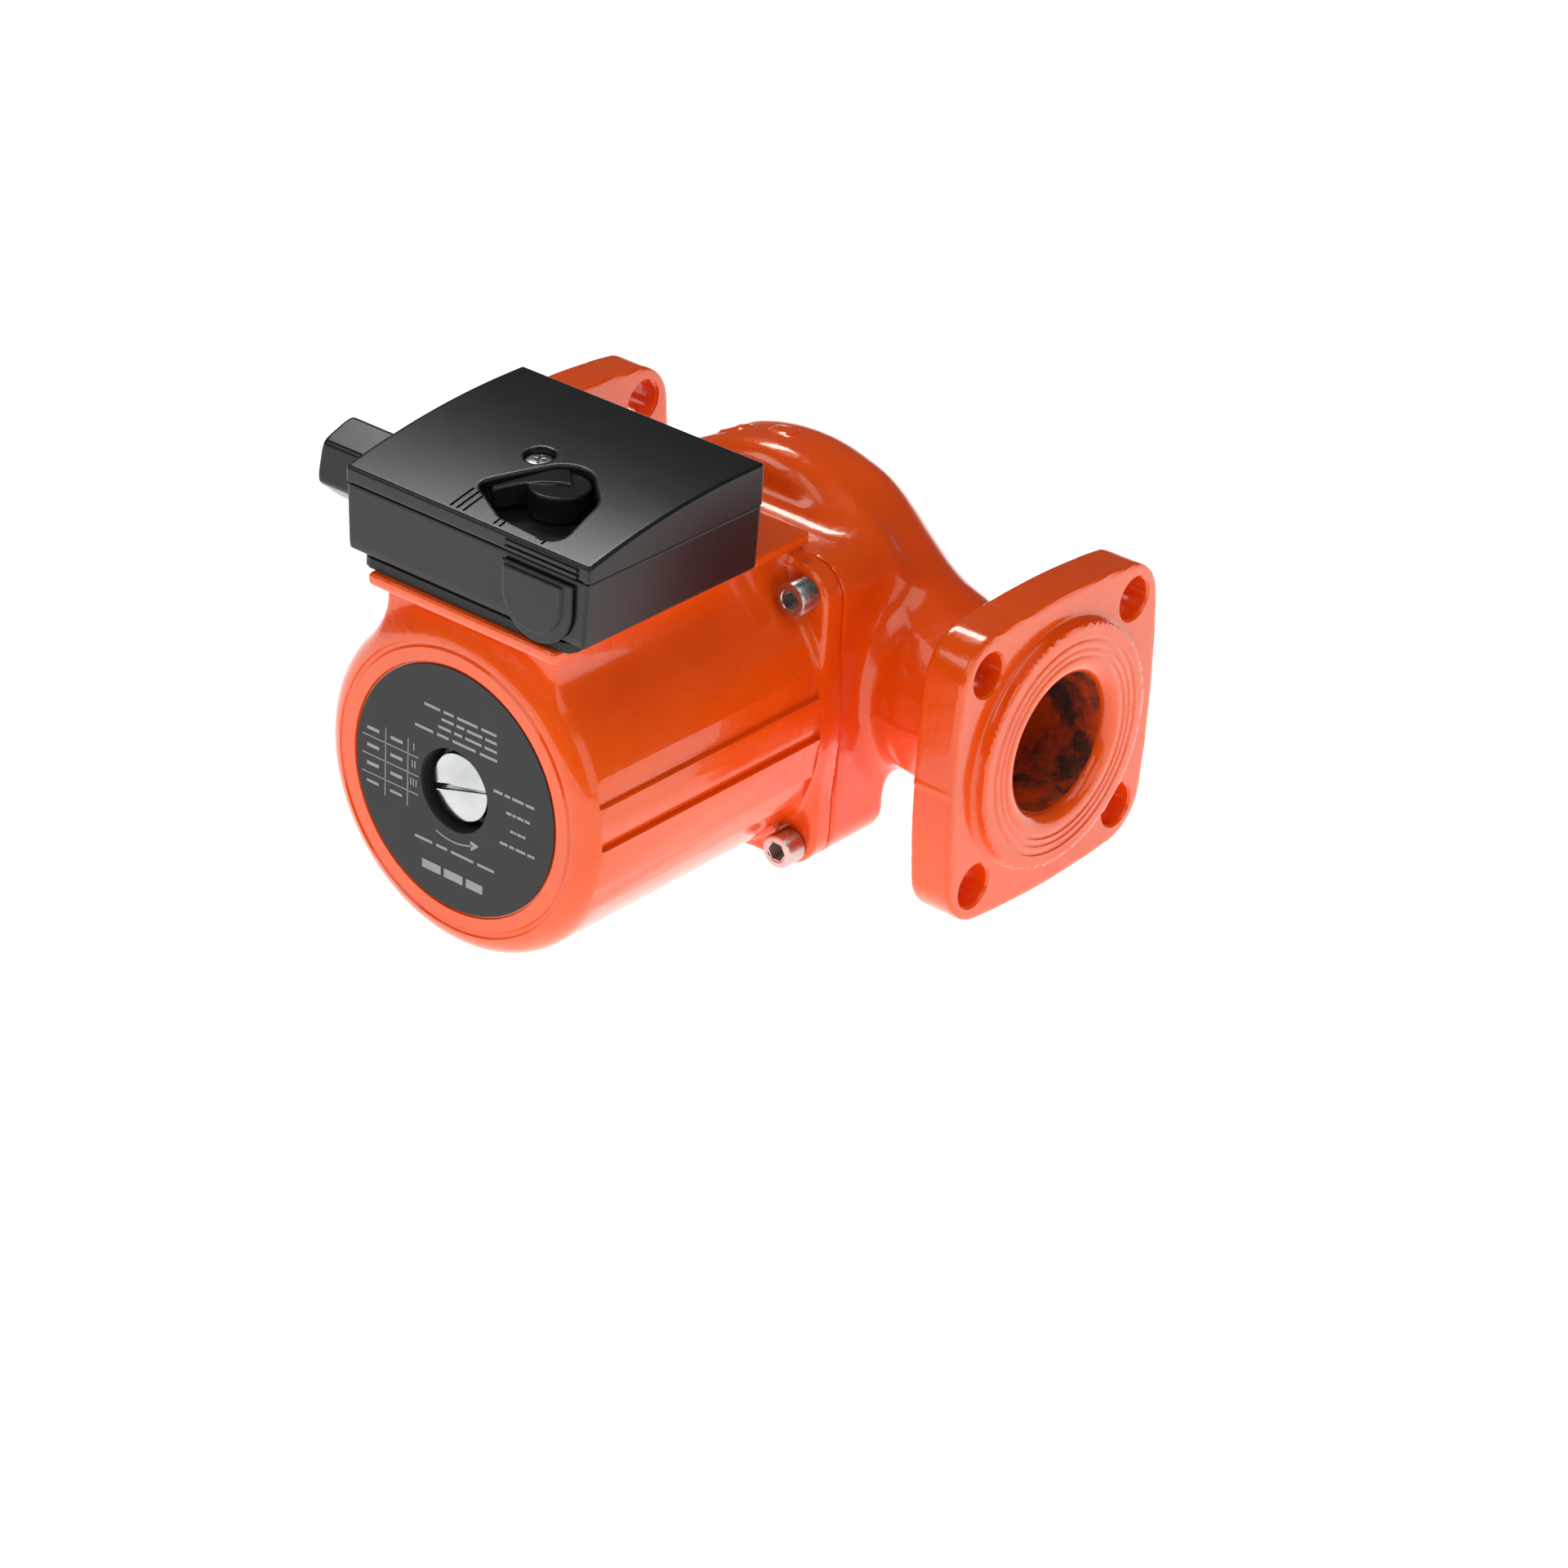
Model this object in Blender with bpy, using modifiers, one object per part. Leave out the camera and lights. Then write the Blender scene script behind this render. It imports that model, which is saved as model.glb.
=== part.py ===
"""Flanged wet-rotor circulator pump with a terminal box, built as an assembly of separate pieces.

Units are metres and +Z is up. The shaft runs along Y with the motor's end at -Y, and the
two flanged ports face +X and -X. Positions below are measured from the pump centre, where
the shaft axis crosses the port axis; an empty there carries every piece.
"""
import math

import bmesh
import bpy
from mathutils import Matrix, Vector, geometry

# Gap kept between two pieces that touch
GAP = 0.0003

# Ports and flanges
FACE_TO_FACE = 0.200
FLANGE_THICKNESS = 0.0135
RAISED_FACE_HEIGHT = 0.0037
RAISED_FACE_RADIUS = 0.0358
PORT_RADIUS = 0.0205
PORT_LIP_RADIUS = 0.0239
PORT_LIP_DEPTH = 0.0030
FLANGE_HALF_MIDDLE = 0.0452
FLANGE_HALF_CORNER = 0.0430
FLANGE_CORNER_RADIUS = 0.0105
FLANGE_BOLT_HALF_PITCH = 0.0322
FLANGE_BOLT_RADIUS = 0.0062
NECK_RADIUS = 0.0245

# Pump housing
VOLUTE_RADIUS = 0.0519
VOLUTE_CENTRE_Z = 0.0079
VOLUTE_FRONT_Y = -0.0140
VOLUTE_BACK_Y = 0.0200
VOLUTE_ROUNDING = 0.0173
JOINT_Y = -0.0320
BLOCK_HALF = 0.0460
BLOCK_CORNER_RADIUS = 0.0105
BLOCK_BACK_Y = -0.0080
SEAT_RADIUS = 0.0440
SEAT_BOTTOM_Y = -0.0275
IMPELLER_BORE_RADIUS = 0.0405
CHAMBER_RADIUS = 0.0420
CHAMBER_FRONT_Y = -0.0112
CHAMBER_BACK_Y = 0.0010
EYE_RADIUS = 0.0183
SUCTION_FRONT_Y = 0.0050
SUCTION_BACK_Y = 0.0158
SUCTION_RADIUS = 0.0240

# Motor housing
BARREL_RADIUS = 0.0486
RIM_ROUNDING = 0.0077
END_FACE_Y = -0.1358
BORE_RADIUS = 0.0415
BORE_END_Y = -0.1280
VENT_HOLE_RADIUS = 0.0120
VENT_SLOT_TILT = 16.0
PLATE_THICKNESS = 0.0072
SCREW_HALF_PITCH = 0.0388
PEDESTAL_HALF = 0.0300
PEDESTAL_LIP_HALF = 0.0332
PEDESTAL_TOP = 0.0526
PEDESTAL_LIP_THICKNESS = 0.0036
PEDESTAL_FRONT_Y = -0.1310
PEDESTAL_LIP_FRONT_Y = -0.1350
LEDGE_ANGLES = (5.5, -9.5)
LEDGE_SPAN = 14.0
LEDGE_DEPTH = 0.0011

# Shaft line
SHAFT_RADIUS = 0.0050
SHAFT_FRONT_Y = -0.1175
SHAFT_BACK_Y = -0.0010
BEARING_BORE_RADIUS = 0.0051
BEARING_RADIUS = 0.0098
CAN_RADIUS = 0.0210
CAN_WALL = 0.0008
CAN_FLANGE_RADIUS = 0.0437
CAN_NECK_RADIUS = 0.0115
ROTOR_RADIUS = 0.0196
IMPELLER_RADIUS = 0.0360
BLADE_COUNT = 6
STATOR_SLOTS = 12

# Terminal box
BOX_HALF = 0.0430
BASE_HALF_TOP = 0.0426
BASE_HALF_BOTTOM = 0.0417
BASE_CHAMFER = 0.0014
BOX_FRONT_Y = -0.1335
BOX_BACK_Y = -0.0652
BOX_BOTTOM = 0.0560
BOX_SPLIT = 0.0750
BOX_TOP = 0.0872
BOX_CURVE_START_Y = -0.0720
BOX_CURVE_RADIUS = 0.2600
BOX_WALL = 0.0022
KNOB_CENTRE = (0.0100, -0.1085)
KNOB_RADIUS = 0.0084
KNOB_REST_ANGLE = 226.0
POINTER_LENGTH = 0.0177
POINTER_SLOPE = 4.5
WELL_FLOOR = 0.0760
COVER_SCREW = (-0.0037, -0.1013)
COVER_SCREW_WELL_RADIUS = 0.0042
GLAND_Y = -0.1100
GLAND_Z = 0.0671
GLAND_END_X = -0.0660
GLAND_SPIN = -19.5
CABLE_HOLE = (-0.0220, -0.0820)
BASE_SCREWS = ((-0.0120, -0.1240), (0.0270, -0.0945))

# The shaft axis stands above the base plane by the barrel's radius, and the whole is centred in Y
CENTRE_HEIGHT = BARREL_RADIUS
CENTRE_Y = -(END_FACE_Y + FLANGE_HALF_MIDDLE) / 2

TURNS = {
    "X": (0, math.pi / 2, 0),
    "-X": (0, -math.pi / 2, 0),
    "Y": (-math.pi / 2, 0, 0),
    "-Y": (math.pi / 2, 0, 0),
    "Z": (0, 0, 0),
    "X sideways": (math.pi / 2, 0, math.pi / 2),
}


def clear_scene():
    for old in list(bpy.data.objects):
        bpy.data.objects.remove(old, do_unlink=True)
    for old in list(bpy.data.collections):
        bpy.data.collections.remove(old)


def new_collection(name):
    collection = bpy.data.collections.new(name)
    bpy.context.scene.collection.children.link(collection)
    return collection


clear_scene()
PARTS = new_collection("circulator_pump")
CUTTERS = new_collection("cutters")

centre = bpy.data.objects.new("pump_centre", None)
centre.location = (0, CENTRE_Y, CENTRE_HEIGHT)
PARTS.objects.link(centre)


def make_material(name, colour, roughness, metallic=0.0):
    material = bpy.data.materials.new(name)
    material.use_nodes = True
    shader = material.node_tree.nodes["Principled BSDF"]
    shader.inputs["Base Color"].default_value = (*colour, 1)
    shader.inputs["Roughness"].default_value = roughness
    shader.inputs["Metallic"].default_value = metallic
    material.diffuse_color = (*colour, 1)
    return material


ENAMEL = make_material("orange_enamel", (0.79, 0.10, 0.02), 0.25)
BLACK_PLASTIC = make_material("black_plastic", (0.03, 0.03, 0.032), 0.45)
STEEL = make_material("screw_steel", (0.55, 0.55, 0.55), 0.3, 1.0)
STAINLESS = make_material("stainless_steel", (0.62, 0.62, 0.60), 0.25, 1.0)
CHROME = make_material("plated_brass", (0.85, 0.85, 0.86), 0.12, 1.0)
LABEL = make_material("grey_label", (0.07, 0.07, 0.07), 0.4)
RUBBER = make_material("black_rubber", (0.02, 0.02, 0.02), 0.8)
LAMINATION = make_material("lamination_steel", (0.35, 0.35, 0.36), 0.45, 1.0)
COPPER = make_material("enamelled_copper", (0.55, 0.22, 0.08), 0.35, 1.0)
CERAMIC = make_material("bearing_ceramic", (0.75, 0.73, 0.68), 0.3)
IMPELLER_PLASTIC = make_material("impeller_plastic", (0.10, 0.10, 0.11), 0.5)
GREY_PLASTIC = make_material("grey_plastic", (0.45, 0.46, 0.47), 0.5)


def add_object(name, mesh, material=None):
    """Make an object under the pump centre: a part if it has a material, else a cutter."""
    item = bpy.data.objects.new(name, mesh)
    item.parent = centre
    if material is None:
        item.hide_render = True
        item.display_type = "WIRE"
        CUTTERS.objects.link(item)
        return item
    mesh.materials.append(material)
    PARTS.objects.link(item)
    return item


def shade(mesh, angle=35):
    mesh.shade_smooth()
    mesh.set_sharp_from_angle(angle=math.radians(angle))


def finished_mesh(item):
    """The object's mesh with its modifiers or its curve settings worked in."""
    bpy.context.view_layer.update()
    graph = bpy.context.evaluated_depsgraph_get()
    return bpy.data.meshes.new_from_object(item.evaluated_get(graph))


def box(name, low, high, material=None, rounding=0.0, along=None, segments=4):
    """A box between two corners. Rounding bevels the edges along one axis, or all of them."""
    work = bmesh.new()
    bmesh.ops.create_cube(work, size=1)
    size = Vector(high) - Vector(low)
    bmesh.ops.scale(work, vec=size, verts=work.verts)
    if rounding:
        chosen = []
        for edge in work.edges:
            run = edge.verts[1].co - edge.verts[0].co
            if along is None or abs(run["XYZ".index(along)]) > 1e-6:
                chosen.append(edge)
        bmesh.ops.bevel(work, geom=chosen, offset=rounding, segments=segments,
                        profile=0.5, affect="EDGES")
    mesh = bpy.data.meshes.new(name)
    work.to_mesh(mesh)
    work.free()
    if rounding:
        shade(mesh)
    item = add_object(name, mesh, material)
    item.location = (Vector(low) + Vector(high)) / 2
    return item


def rod(name, radius, start, length, axis, material=None, segments=24, end_radius=None, spin=0.0):
    """A cylinder, cone or (with six segments) hexagon bar from start along an axis, spun in degrees."""
    work = bmesh.new()
    placing = Matrix.Translation((0, 0, length / 2)) @ Matrix.Rotation(math.radians(spin), 4, "Z")
    bmesh.ops.create_cone(work, cap_ends=True, segments=segments, radius1=radius,
                          radius2=radius if end_radius is None else end_radius, depth=length,
                          matrix=placing)
    mesh = bpy.data.meshes.new(name)
    work.to_mesh(mesh)
    work.free()
    if segments > 8:
        shade(mesh)
    item = add_object(name, mesh, material)
    item.location = start
    item.rotation_euler = TURNS[axis]
    return item


def turned(name, profile, material=None, axis="-Y", centre_point=(0, 0, 0), steps=32):
    """Spin a profile of (radius, height along the axis) points, outer side first, top down."""
    mesh = bpy.data.meshes.new(name)
    points = [(radius, 0, height) for radius, height in profile]
    edges = [(i, i + 1) for i in range(len(points) - 1)]
    if profile[0][0] > 0:
        edges.append((len(points) - 1, 0))
    mesh.from_pydata(points, edges, [])
    item = add_object(name, mesh, material)
    screw = item.modifiers.new("spin", "SCREW")
    screw.axis = "Z"
    screw.steps = steps
    screw.render_steps = steps
    screw.use_merge_vertices = True
    screw.merge_threshold = 0.00001
    item.data = finished_mesh(item)
    item.modifiers.clear()
    bpy.data.meshes.remove(mesh)
    item.data.name = name
    shade(item.data)
    item.location = centre_point
    item.rotation_euler = TURNS[axis]
    return item


def plate(name, outline, thickness, start, axis, material=None):
    """A flat outline given as (across, up) points, extruded along an axis from start."""
    curve = bpy.data.curves.new(name, "CURVE")
    curve.dimensions = "2D"
    curve.fill_mode = "BOTH"
    curve.extrude = thickness / 2
    spline = curve.splines.new("POLY")
    spline.points.add(len(outline) - 1)
    for point, (across, up) in zip(spline.points, outline):
        point.co = (across, up, 0, 1)
    spline.use_cyclic_u = True
    drawn = bpy.data.objects.new(name + "_outline", curve)
    CUTTERS.objects.link(drawn)
    mesh = finished_mesh(drawn)
    bpy.data.objects.remove(drawn, do_unlink=True)
    bpy.data.curves.remove(curve)
    work = bmesh.new()
    work.from_mesh(mesh)
    bmesh.ops.remove_doubles(work, verts=work.verts, dist=0.00001)
    bmesh.ops.translate(work, verts=work.verts, vec=(0, 0, thickness / 2))
    bmesh.ops.dissolve_limit(work, angle_limit=0.0001, verts=work.verts, edges=work.edges)
    bmesh.ops.recalc_face_normals(work, faces=work.faces)
    work.to_mesh(mesh)
    work.free()
    mesh.name = name
    mesh.materials.clear()
    shade(mesh)
    item = add_object(name, mesh, material)
    item.location = start
    item.rotation_euler = TURNS[axis]
    return item


def loft(name, sections, material=None, sides=24):
    """A duct along X through ellipses given as (x, centre y, centre z, radius y, radius z)."""
    work = bmesh.new()
    rings = []
    for x, y, z, radius_y, radius_z in sections:
        ring = []
        for step in range(sides):
            turn = 2 * math.pi * step / sides
            ring.append(work.verts.new((x, y + radius_y * math.cos(turn), z + radius_z * math.sin(turn))))
        rings.append(ring)
    for ring, following in zip(rings, rings[1:]):
        for step in range(sides):
            after = (step + 1) % sides
            work.faces.new((ring[step], ring[after], following[after], following[step]))
    work.faces.new(rings[0])
    work.faces.new(rings[-1])
    bmesh.ops.recalc_face_normals(work, faces=work.faces)
    mesh = bpy.data.meshes.new(name)
    work.to_mesh(mesh)
    work.free()
    shade(mesh)
    return add_object(name, mesh, material)


def boolean(item, other, operation):
    modifier = item.modifiers.new(operation.lower() + "_" + other.name, "BOOLEAN")
    modifier.operation = operation
    modifier.object = other
    modifier.solver = "EXACT"


def cut(item, *cutters):
    for cutter in cutters:
        boolean(item, cutter, "DIFFERENCE")


def join(item, *additions):
    for addition in additions:
        boolean(item, addition, "UNION")


def arc(centre_across, centre_up, radius, start, end, steps):
    """Points on an arc, with its angles in degrees."""
    points = []
    for step in range(steps + 1):
        angle = math.radians(start + (end - start) * step / steps)
        points.append((centre_across + radius * math.cos(angle), centre_up + radius * math.sin(angle)))
    return points


def hull_outline(circles, steps=20):
    """The outline that a string pulled round some circles makes."""
    cloud = []
    for across, up, radius in circles:
        cloud += [Vector(point) for point in arc(across, up, radius, 0, 360 - 360 / steps, steps - 1)]
    return [tuple(cloud[index]) for index in geometry.convex_hull_2d(cloud)]


def flange_outline():
    """A square with rounded corners whose sides bulge out to the middle."""
    inner = FLANGE_HALF_CORNER - FLANGE_CORNER_RADIUS
    bulge = FLANGE_HALF_MIDDLE - FLANGE_HALF_CORNER
    radius = (inner ** 2 + bulge ** 2) / (2 * bulge)
    sweep = math.degrees(math.asin(inner / radius))
    side = arc(FLANGE_HALF_MIDDLE - radius, 0, radius, -sweep, sweep, 4)
    corner = arc(inner, inner, FLANGE_CORNER_RADIUS, 8, 82, 3)
    quarter = side[1:-1] + corner
    outline = []
    for turn in range(4):
        for across, up in quarter:
            for _ in range(turn):
                across, up = -up, across
            outline.append((across, up))
    return outline


# ---------------------------------------------------------------- pump housing

def rounded_back(radius, front_y, back_y, rounding, steps=4):
    """Profile of a disc seen from the shaft: flat in front, rounded at its back edge."""
    profile = [(0, -front_y), (radius, -front_y)]
    profile += arc(radius - rounding, -back_y + rounding, rounding, 0, -90, steps)
    return profile + [(0, -back_y)]


def build_flange(side):
    """The plate and raised face of one port; side is +1 or -1."""
    axis = "X" if side > 0 else "-X"
    name = "right" if side > 0 else "left"
    face = FACE_TO_FACE / 2 - RAISED_FACE_HEIGHT
    plate_part = plate(name + "_flange_plate", flange_outline(), FLANGE_THICKNESS,
                       (side * (face - FLANGE_THICKNESS), 0, 0), axis)
    overlap = 0.002
    raised = rod(name + "_raised_face", RAISED_FACE_RADIUS, (side * (face - overlap), 0, 0),
                 RAISED_FACE_HEIGHT + overlap, axis, segments=32)
    return plate_part, raised


def flange_cutters(side):
    """The port's lip and the four bolt holes of one flange."""
    axis = "X" if side > 0 else "-X"
    name = "right" if side > 0 else "left"
    past = 0.001
    slope = (PORT_LIP_RADIUS - PORT_RADIUS) / PORT_LIP_DEPTH
    lip = rod(name + "_port_lip", PORT_RADIUS - past * slope,
              (side * (FACE_TO_FACE / 2 - PORT_LIP_DEPTH - past), 0, 0),
              PORT_LIP_DEPTH + 2 * past, axis, segments=32, end_radius=PORT_LIP_RADIUS + past * slope)
    holes = []
    for across in (-1, 1):
        for up in (-1, 1):
            start = (side * 0.080, across * FLANGE_BOLT_HALF_PITCH, up * FLANGE_BOLT_HALF_PITCH)
            holes.append(rod(name + "_bolt_hole", FLANGE_BOLT_RADIUS, start, 0.020, axis, segments=14))
    return [lip] + holes


def build_pump_housing():
    housing = turned("pump_housing",
                     rounded_back(VOLUTE_RADIUS, VOLUTE_FRONT_Y, VOLUTE_BACK_Y, VOLUTE_ROUNDING),
                     ENAMEL, centre_point=(0, 0, VOLUTE_CENTRE_Z), steps=44)
    block = box("housing_block", (-BLOCK_HALF, JOINT_Y, -BLOCK_HALF), (BLOCK_HALF, BLOCK_BACK_Y, BLOCK_HALF),
                rounding=BLOCK_CORNER_RADIUS, along="Y", segments=3)
    flange_x = FACE_TO_FACE / 2 - RAISED_FACE_HEIGHT - FLANGE_THICKNESS + 0.003
    outlet = loft("outlet_neck", [
        (flange_x, 0, 0, NECK_RADIUS, NECK_RADIUS),
        (0.072, 0, 0.0005, NECK_RADIUS, NECK_RADIUS),
        (0.060, 0, 0.0022, 0.0240, 0.0267),
        (0.048, 0.0010, 0.0052, 0.0230, 0.0297),
        (0.037, 0.0020, 0.0085, 0.0220, 0.0335),
        (0.024, 0.0030, 0.0125, 0.0200, 0.0375),
        (0.006, 0.0035, 0.0150, 0.0175, 0.0400)])
    inlet = loft("inlet_neck", [
        (-flange_x, 0, 0, NECK_RADIUS, NECK_RADIUS),
        (-0.070, 0, 0, NECK_RADIUS, NECK_RADIUS),
        (-0.056, 0.0005, 0.0005, 0.0240, 0.0262),
        (-0.044, 0.0020, 0.0015, 0.0225, 0.0290),
        (-0.030, 0.0030, 0.0030, 0.0180, 0.0320)])
    join(housing, block, outlet, inlet, *build_flange(1), *build_flange(-1))

    seat = rod("gasket_seat", SEAT_RADIUS, (0, JOINT_Y - 0.001, 0), SEAT_BOTTOM_Y - JOINT_Y + 0.001, "Y",
               segments=32)
    bore = rod("impeller_bore", IMPELLER_BORE_RADIUS, (0, JOINT_Y, 0), CHAMBER_FRONT_Y + 0.001 - JOINT_Y, "Y",
               segments=32)
    chamber = rod("volute_chamber", CHAMBER_RADIUS, (0, CHAMBER_FRONT_Y, 0.002),
                  CHAMBER_BACK_Y - CHAMBER_FRONT_Y, "Y", segments=32)
    eye = rod("suction_eye", EYE_RADIUS, (0, CHAMBER_BACK_Y - 0.002, 0), 0.008, "Y", segments=32)
    suction = rod("suction_chamber", SUCTION_RADIUS, (0, SUCTION_FRONT_Y, 0),
                  SUCTION_BACK_Y - SUCTION_FRONT_Y, "Y", segments=32)
    suction_middle = (SUCTION_FRONT_Y + SUCTION_BACK_Y) / 2
    inlet_duct = loft("inlet_duct", [
        (-0.102, 0, 0, PORT_RADIUS, PORT_RADIUS),
        (-0.074, 0, 0, PORT_RADIUS, PORT_RADIUS),
        (-0.061, 0.0025, 0, 0.0165, 0.0210),
        (-0.051, 0.0066, 0, 0.0102, 0.0220),
        (-0.043, 0.0098, 0, 0.0057, 0.0225),
        (-0.006, suction_middle, 0, 0.0050, 0.0215)])
    outlet_duct = loft("outlet_duct", [
        (0.102, 0, 0, PORT_RADIUS, PORT_RADIUS),
        (0.074, 0, 0.0002, PORT_RADIUS, PORT_RADIUS),
        (0.060, -0.0005, 0.0030, 0.0180, 0.0200),
        (0.046, -0.0020, 0.0090, 0.0130, 0.0190),
        (0.034, -0.0040, 0.0170, 0.0085, 0.0165),
        (0.020, -0.0050, 0.0260, 0.0058, 0.0135),
        (0.004, -0.0050, 0.0330, 0.0050, 0.0105)])
    cut(housing, seat, bore, chamber, eye, suction, inlet_duct, outlet_duct)
    cut(housing, *flange_cutters(1), *flange_cutters(-1))
    cut(housing, *screw_holes("housing_screw_hole", 0.0032, JOINT_Y - 0.001, 0.020, "Y"))


def screw_holes(name, radius, start_y, length, axis):
    holes = []
    for across in (-1, 1):
        for up in (-1, 1):
            start = (across * SCREW_HALF_PITCH, start_y, up * SCREW_HALF_PITCH)
            holes.append(rod(name, radius, start, length, axis, segments=12))
    return holes


# ---------------------------------------------------------------- motor housing

def build_motor_housing():
    label_radius = 0.0362
    label_recess = 0.0007
    groove = 0.0006
    front = -END_FACE_Y
    flat_radius = BARREL_RADIUS - RIM_ROUNDING
    profile = [(0, front - label_recess), (label_radius, front - label_recess), (label_radius, front),
               (flat_radius - 0.0008, front), (flat_radius - 0.0004, front - groove),
               (flat_radius + 0.0008, front - groove)]
    profile += arc(flat_radius, front - RIM_ROUNDING, RIM_ROUNDING, 80, 0, 5)
    profile += [(BARREL_RADIUS, 0.0340), (0, 0.0340)]
    motor = turned("motor_housing", profile, ENAMEL, steps=56)

    joint = JOINT_Y - GAP
    flange = box("motor_flange", (-BLOCK_HALF, JOINT_Y - GAP - PLATE_THICKNESS, -BLOCK_HALF),
                 (BLOCK_HALF, joint, BLOCK_HALF), rounding=BLOCK_CORNER_RADIUS, along="Y", segments=3)
    pedestal = box("pedestal", (-PEDESTAL_HALF, PEDESTAL_FRONT_Y, 0.020),
                   (PEDESTAL_HALF, joint, PEDESTAL_TOP - 0.0005))
    lip = box("pedestal_lip", (-PEDESTAL_LIP_HALF, PEDESTAL_LIP_FRONT_Y, PEDESTAL_TOP - PEDESTAL_LIP_THICKNESS),
              (PEDESTAL_LIP_HALF, joint, PEDESTAL_TOP))
    join(motor, flange, pedestal, lip)

    bore = rod("motor_bore", BORE_RADIUS, (0, JOINT_Y + 0.002, 0), JOINT_Y + 0.002 - BORE_END_Y, "-Y",
               segments=32)
    vent = rod("vent_opening", VENT_HOLE_RADIUS, (0, BORE_END_Y + 0.001, 0), 0.012, "-Y", segments=32)
    cable = rod("cable_way", 0.0050, (CABLE_HOLE[0], CABLE_HOLE[1], 0.030), 0.030, "Z", segments=16)
    cut(motor, bore, vent, cable)
    cut(motor, *screw_holes("motor_screw_hole", 0.0033, JOINT_Y + 0.002, 0.012, "-Y"))
    for across, along_y in BASE_SCREWS:
        cut(motor, rod("base_screw_hole", 0.0021, (across, along_y, 0.0445), 0.012, "Z", segments=12))
    for side in (-1, 1):
        for angle in LEDGE_ANGLES:
            cut(motor, ledge_cutter(side, angle))


def ledge_cutter(side, angle):
    """A long flat cut on the barrel's flank, as wide as LEDGE_SPAN degrees."""
    half = BARREL_RADIUS * math.radians(LEDGE_SPAN) / 2
    depth = 0.006
    cutter = box("ledge_cutter", (-depth / 2, -0.1308, -half), (depth / 2, -0.0420, half))
    turn = math.radians(angle)
    reach = BARREL_RADIUS * math.cos(math.radians(LEDGE_SPAN) / 2) - LEDGE_DEPTH / 2 + depth / 2
    cutter.location.x = side * reach * math.cos(turn)
    cutter.location.z = reach * math.sin(turn)
    cutter.rotation_euler = (0, -side * turn, 0)
    return cutter


def build_housing_screws():
    """Four M6 socket head screws with the mesh shared between them."""
    head_radius = 0.0050
    head_height = 0.0068
    seat = -JOINT_Y + GAP + PLATE_THICKNESS + GAP
    top = seat + head_height
    profile = [(0, top), (head_radius - 0.0004, top), (head_radius, top - 0.0004), (head_radius, seat),
               (0.0029, seat), (0.0029, 0.0200), (0, 0.0200)]
    first = turned("housing_screw_1", profile, STEEL, steps=20)
    socket = rod("screw_socket", 0.0029, (0, -top + 0.0034, 0), 0.0044, "-Y", segments=6)
    cut(first, socket)
    shared = finished_mesh(first)
    first.modifiers.clear()
    first.data = shared
    places = [(across, up) for up in (1, -1) for across in (1, -1)]
    for number, (across, up) in enumerate(places, 1):
        item = first
        if number > 1:
            item = bpy.data.objects.new(f"housing_screw_{number}", shared)
            item.parent = centre
            PARTS.objects.link(item)
        item.location = (across * SCREW_HALF_PITCH, 0, up * SCREW_HALF_PITCH)
        item.rotation_euler = TURNS["-Y"]


def build_nameplate():
    front = -END_FACE_Y
    thickness = 0.0004
    back = front - 0.0007 + 0.0003
    turned("nameplate", [(0.0357, back + thickness), (0.0357, back), (VENT_HOLE_RADIUS, back),
                         (VENT_HOLE_RADIUS, back + thickness)], LABEL)


# ---------------------------------------------------------------- wet end and shaft line

def build_shaft():
    top = -SHAFT_FRONT_Y
    bottom = -SHAFT_BACK_Y
    chamfer = 0.0005
    shaft = turned("shaft", [(0, top), (SHAFT_RADIUS - chamfer, top), (SHAFT_RADIUS, top - chamfer),
                             (SHAFT_RADIUS, bottom + chamfer), (SHAFT_RADIUS - chamfer, bottom), (0, bottom)],
                   STAINLESS)
    slot = box("shaft_slot", (-0.006, SHAFT_FRONT_Y - 0.001, -0.0006), (0.006, SHAFT_FRONT_Y + 0.0015, 0.0006))
    cut(shaft, slot)


def ring(name, outer, inner, front_y, back_y, material):
    """A plain ring on the shaft axis between two places along Y."""
    return turned(name, [(outer, -front_y), (outer, -back_y), (inner, -back_y), (inner, -front_y)],
                  material)


def build_rotor_can():
    wall = CAN_WALL
    inner = CAN_RADIUS - wall
    seat = 0.0101
    flange_front = -JOINT_Y
    flange_back = flange_front - 0.0008
    turned("rotor_can", [
        (CAN_NECK_RADIUS, 0.1287), (CAN_NECK_RADIUS, 0.1030), (CAN_RADIUS, 0.1000),
        (CAN_RADIUS, flange_front), (CAN_FLANGE_RADIUS, flange_front), (CAN_FLANGE_RADIUS, flange_back),
        (inner, flange_back), (inner, 0.0993), (seat, 0.1022), (seat, 0.1190),
        (0.0082, 0.1190), (0.0082, 0.1287)], STAINLESS)


def build_bearing_plate():
    seat = 0.0101
    hub = 0.0125
    turned("bearing_plate", [
        (hub, 0.0370), (hub, 0.0293), (CAN_FLANGE_RADIUS, 0.0293), (CAN_FLANGE_RADIUS, 0.0278),
        (hub, 0.0278), (hub, 0.0220), (0.0065, 0.0220), (0.0065, 0.0232), (seat, 0.0232), (seat, 0.0370)],
        STAINLESS)


def blade_outline():
    """A backward-curved blade of even thickness, as an outline across and up."""
    inner_radius = 0.0160
    outer_radius = IMPELLER_RADIUS - 0.0003
    half = 0.0006
    sweep = math.radians(70)
    steps = 4
    left = []
    right = []
    for step in range(steps + 1):
        share = step / steps
        radius = inner_radius + (outer_radius - inner_radius) * share
        angle = sweep * share
        spread = half / radius
        left.append((radius * math.cos(angle - spread), radius * math.sin(angle - spread)))
        right.append((radius * math.cos(angle + spread), radius * math.sin(angle + spread)))
    return left + right[::-1]


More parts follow.
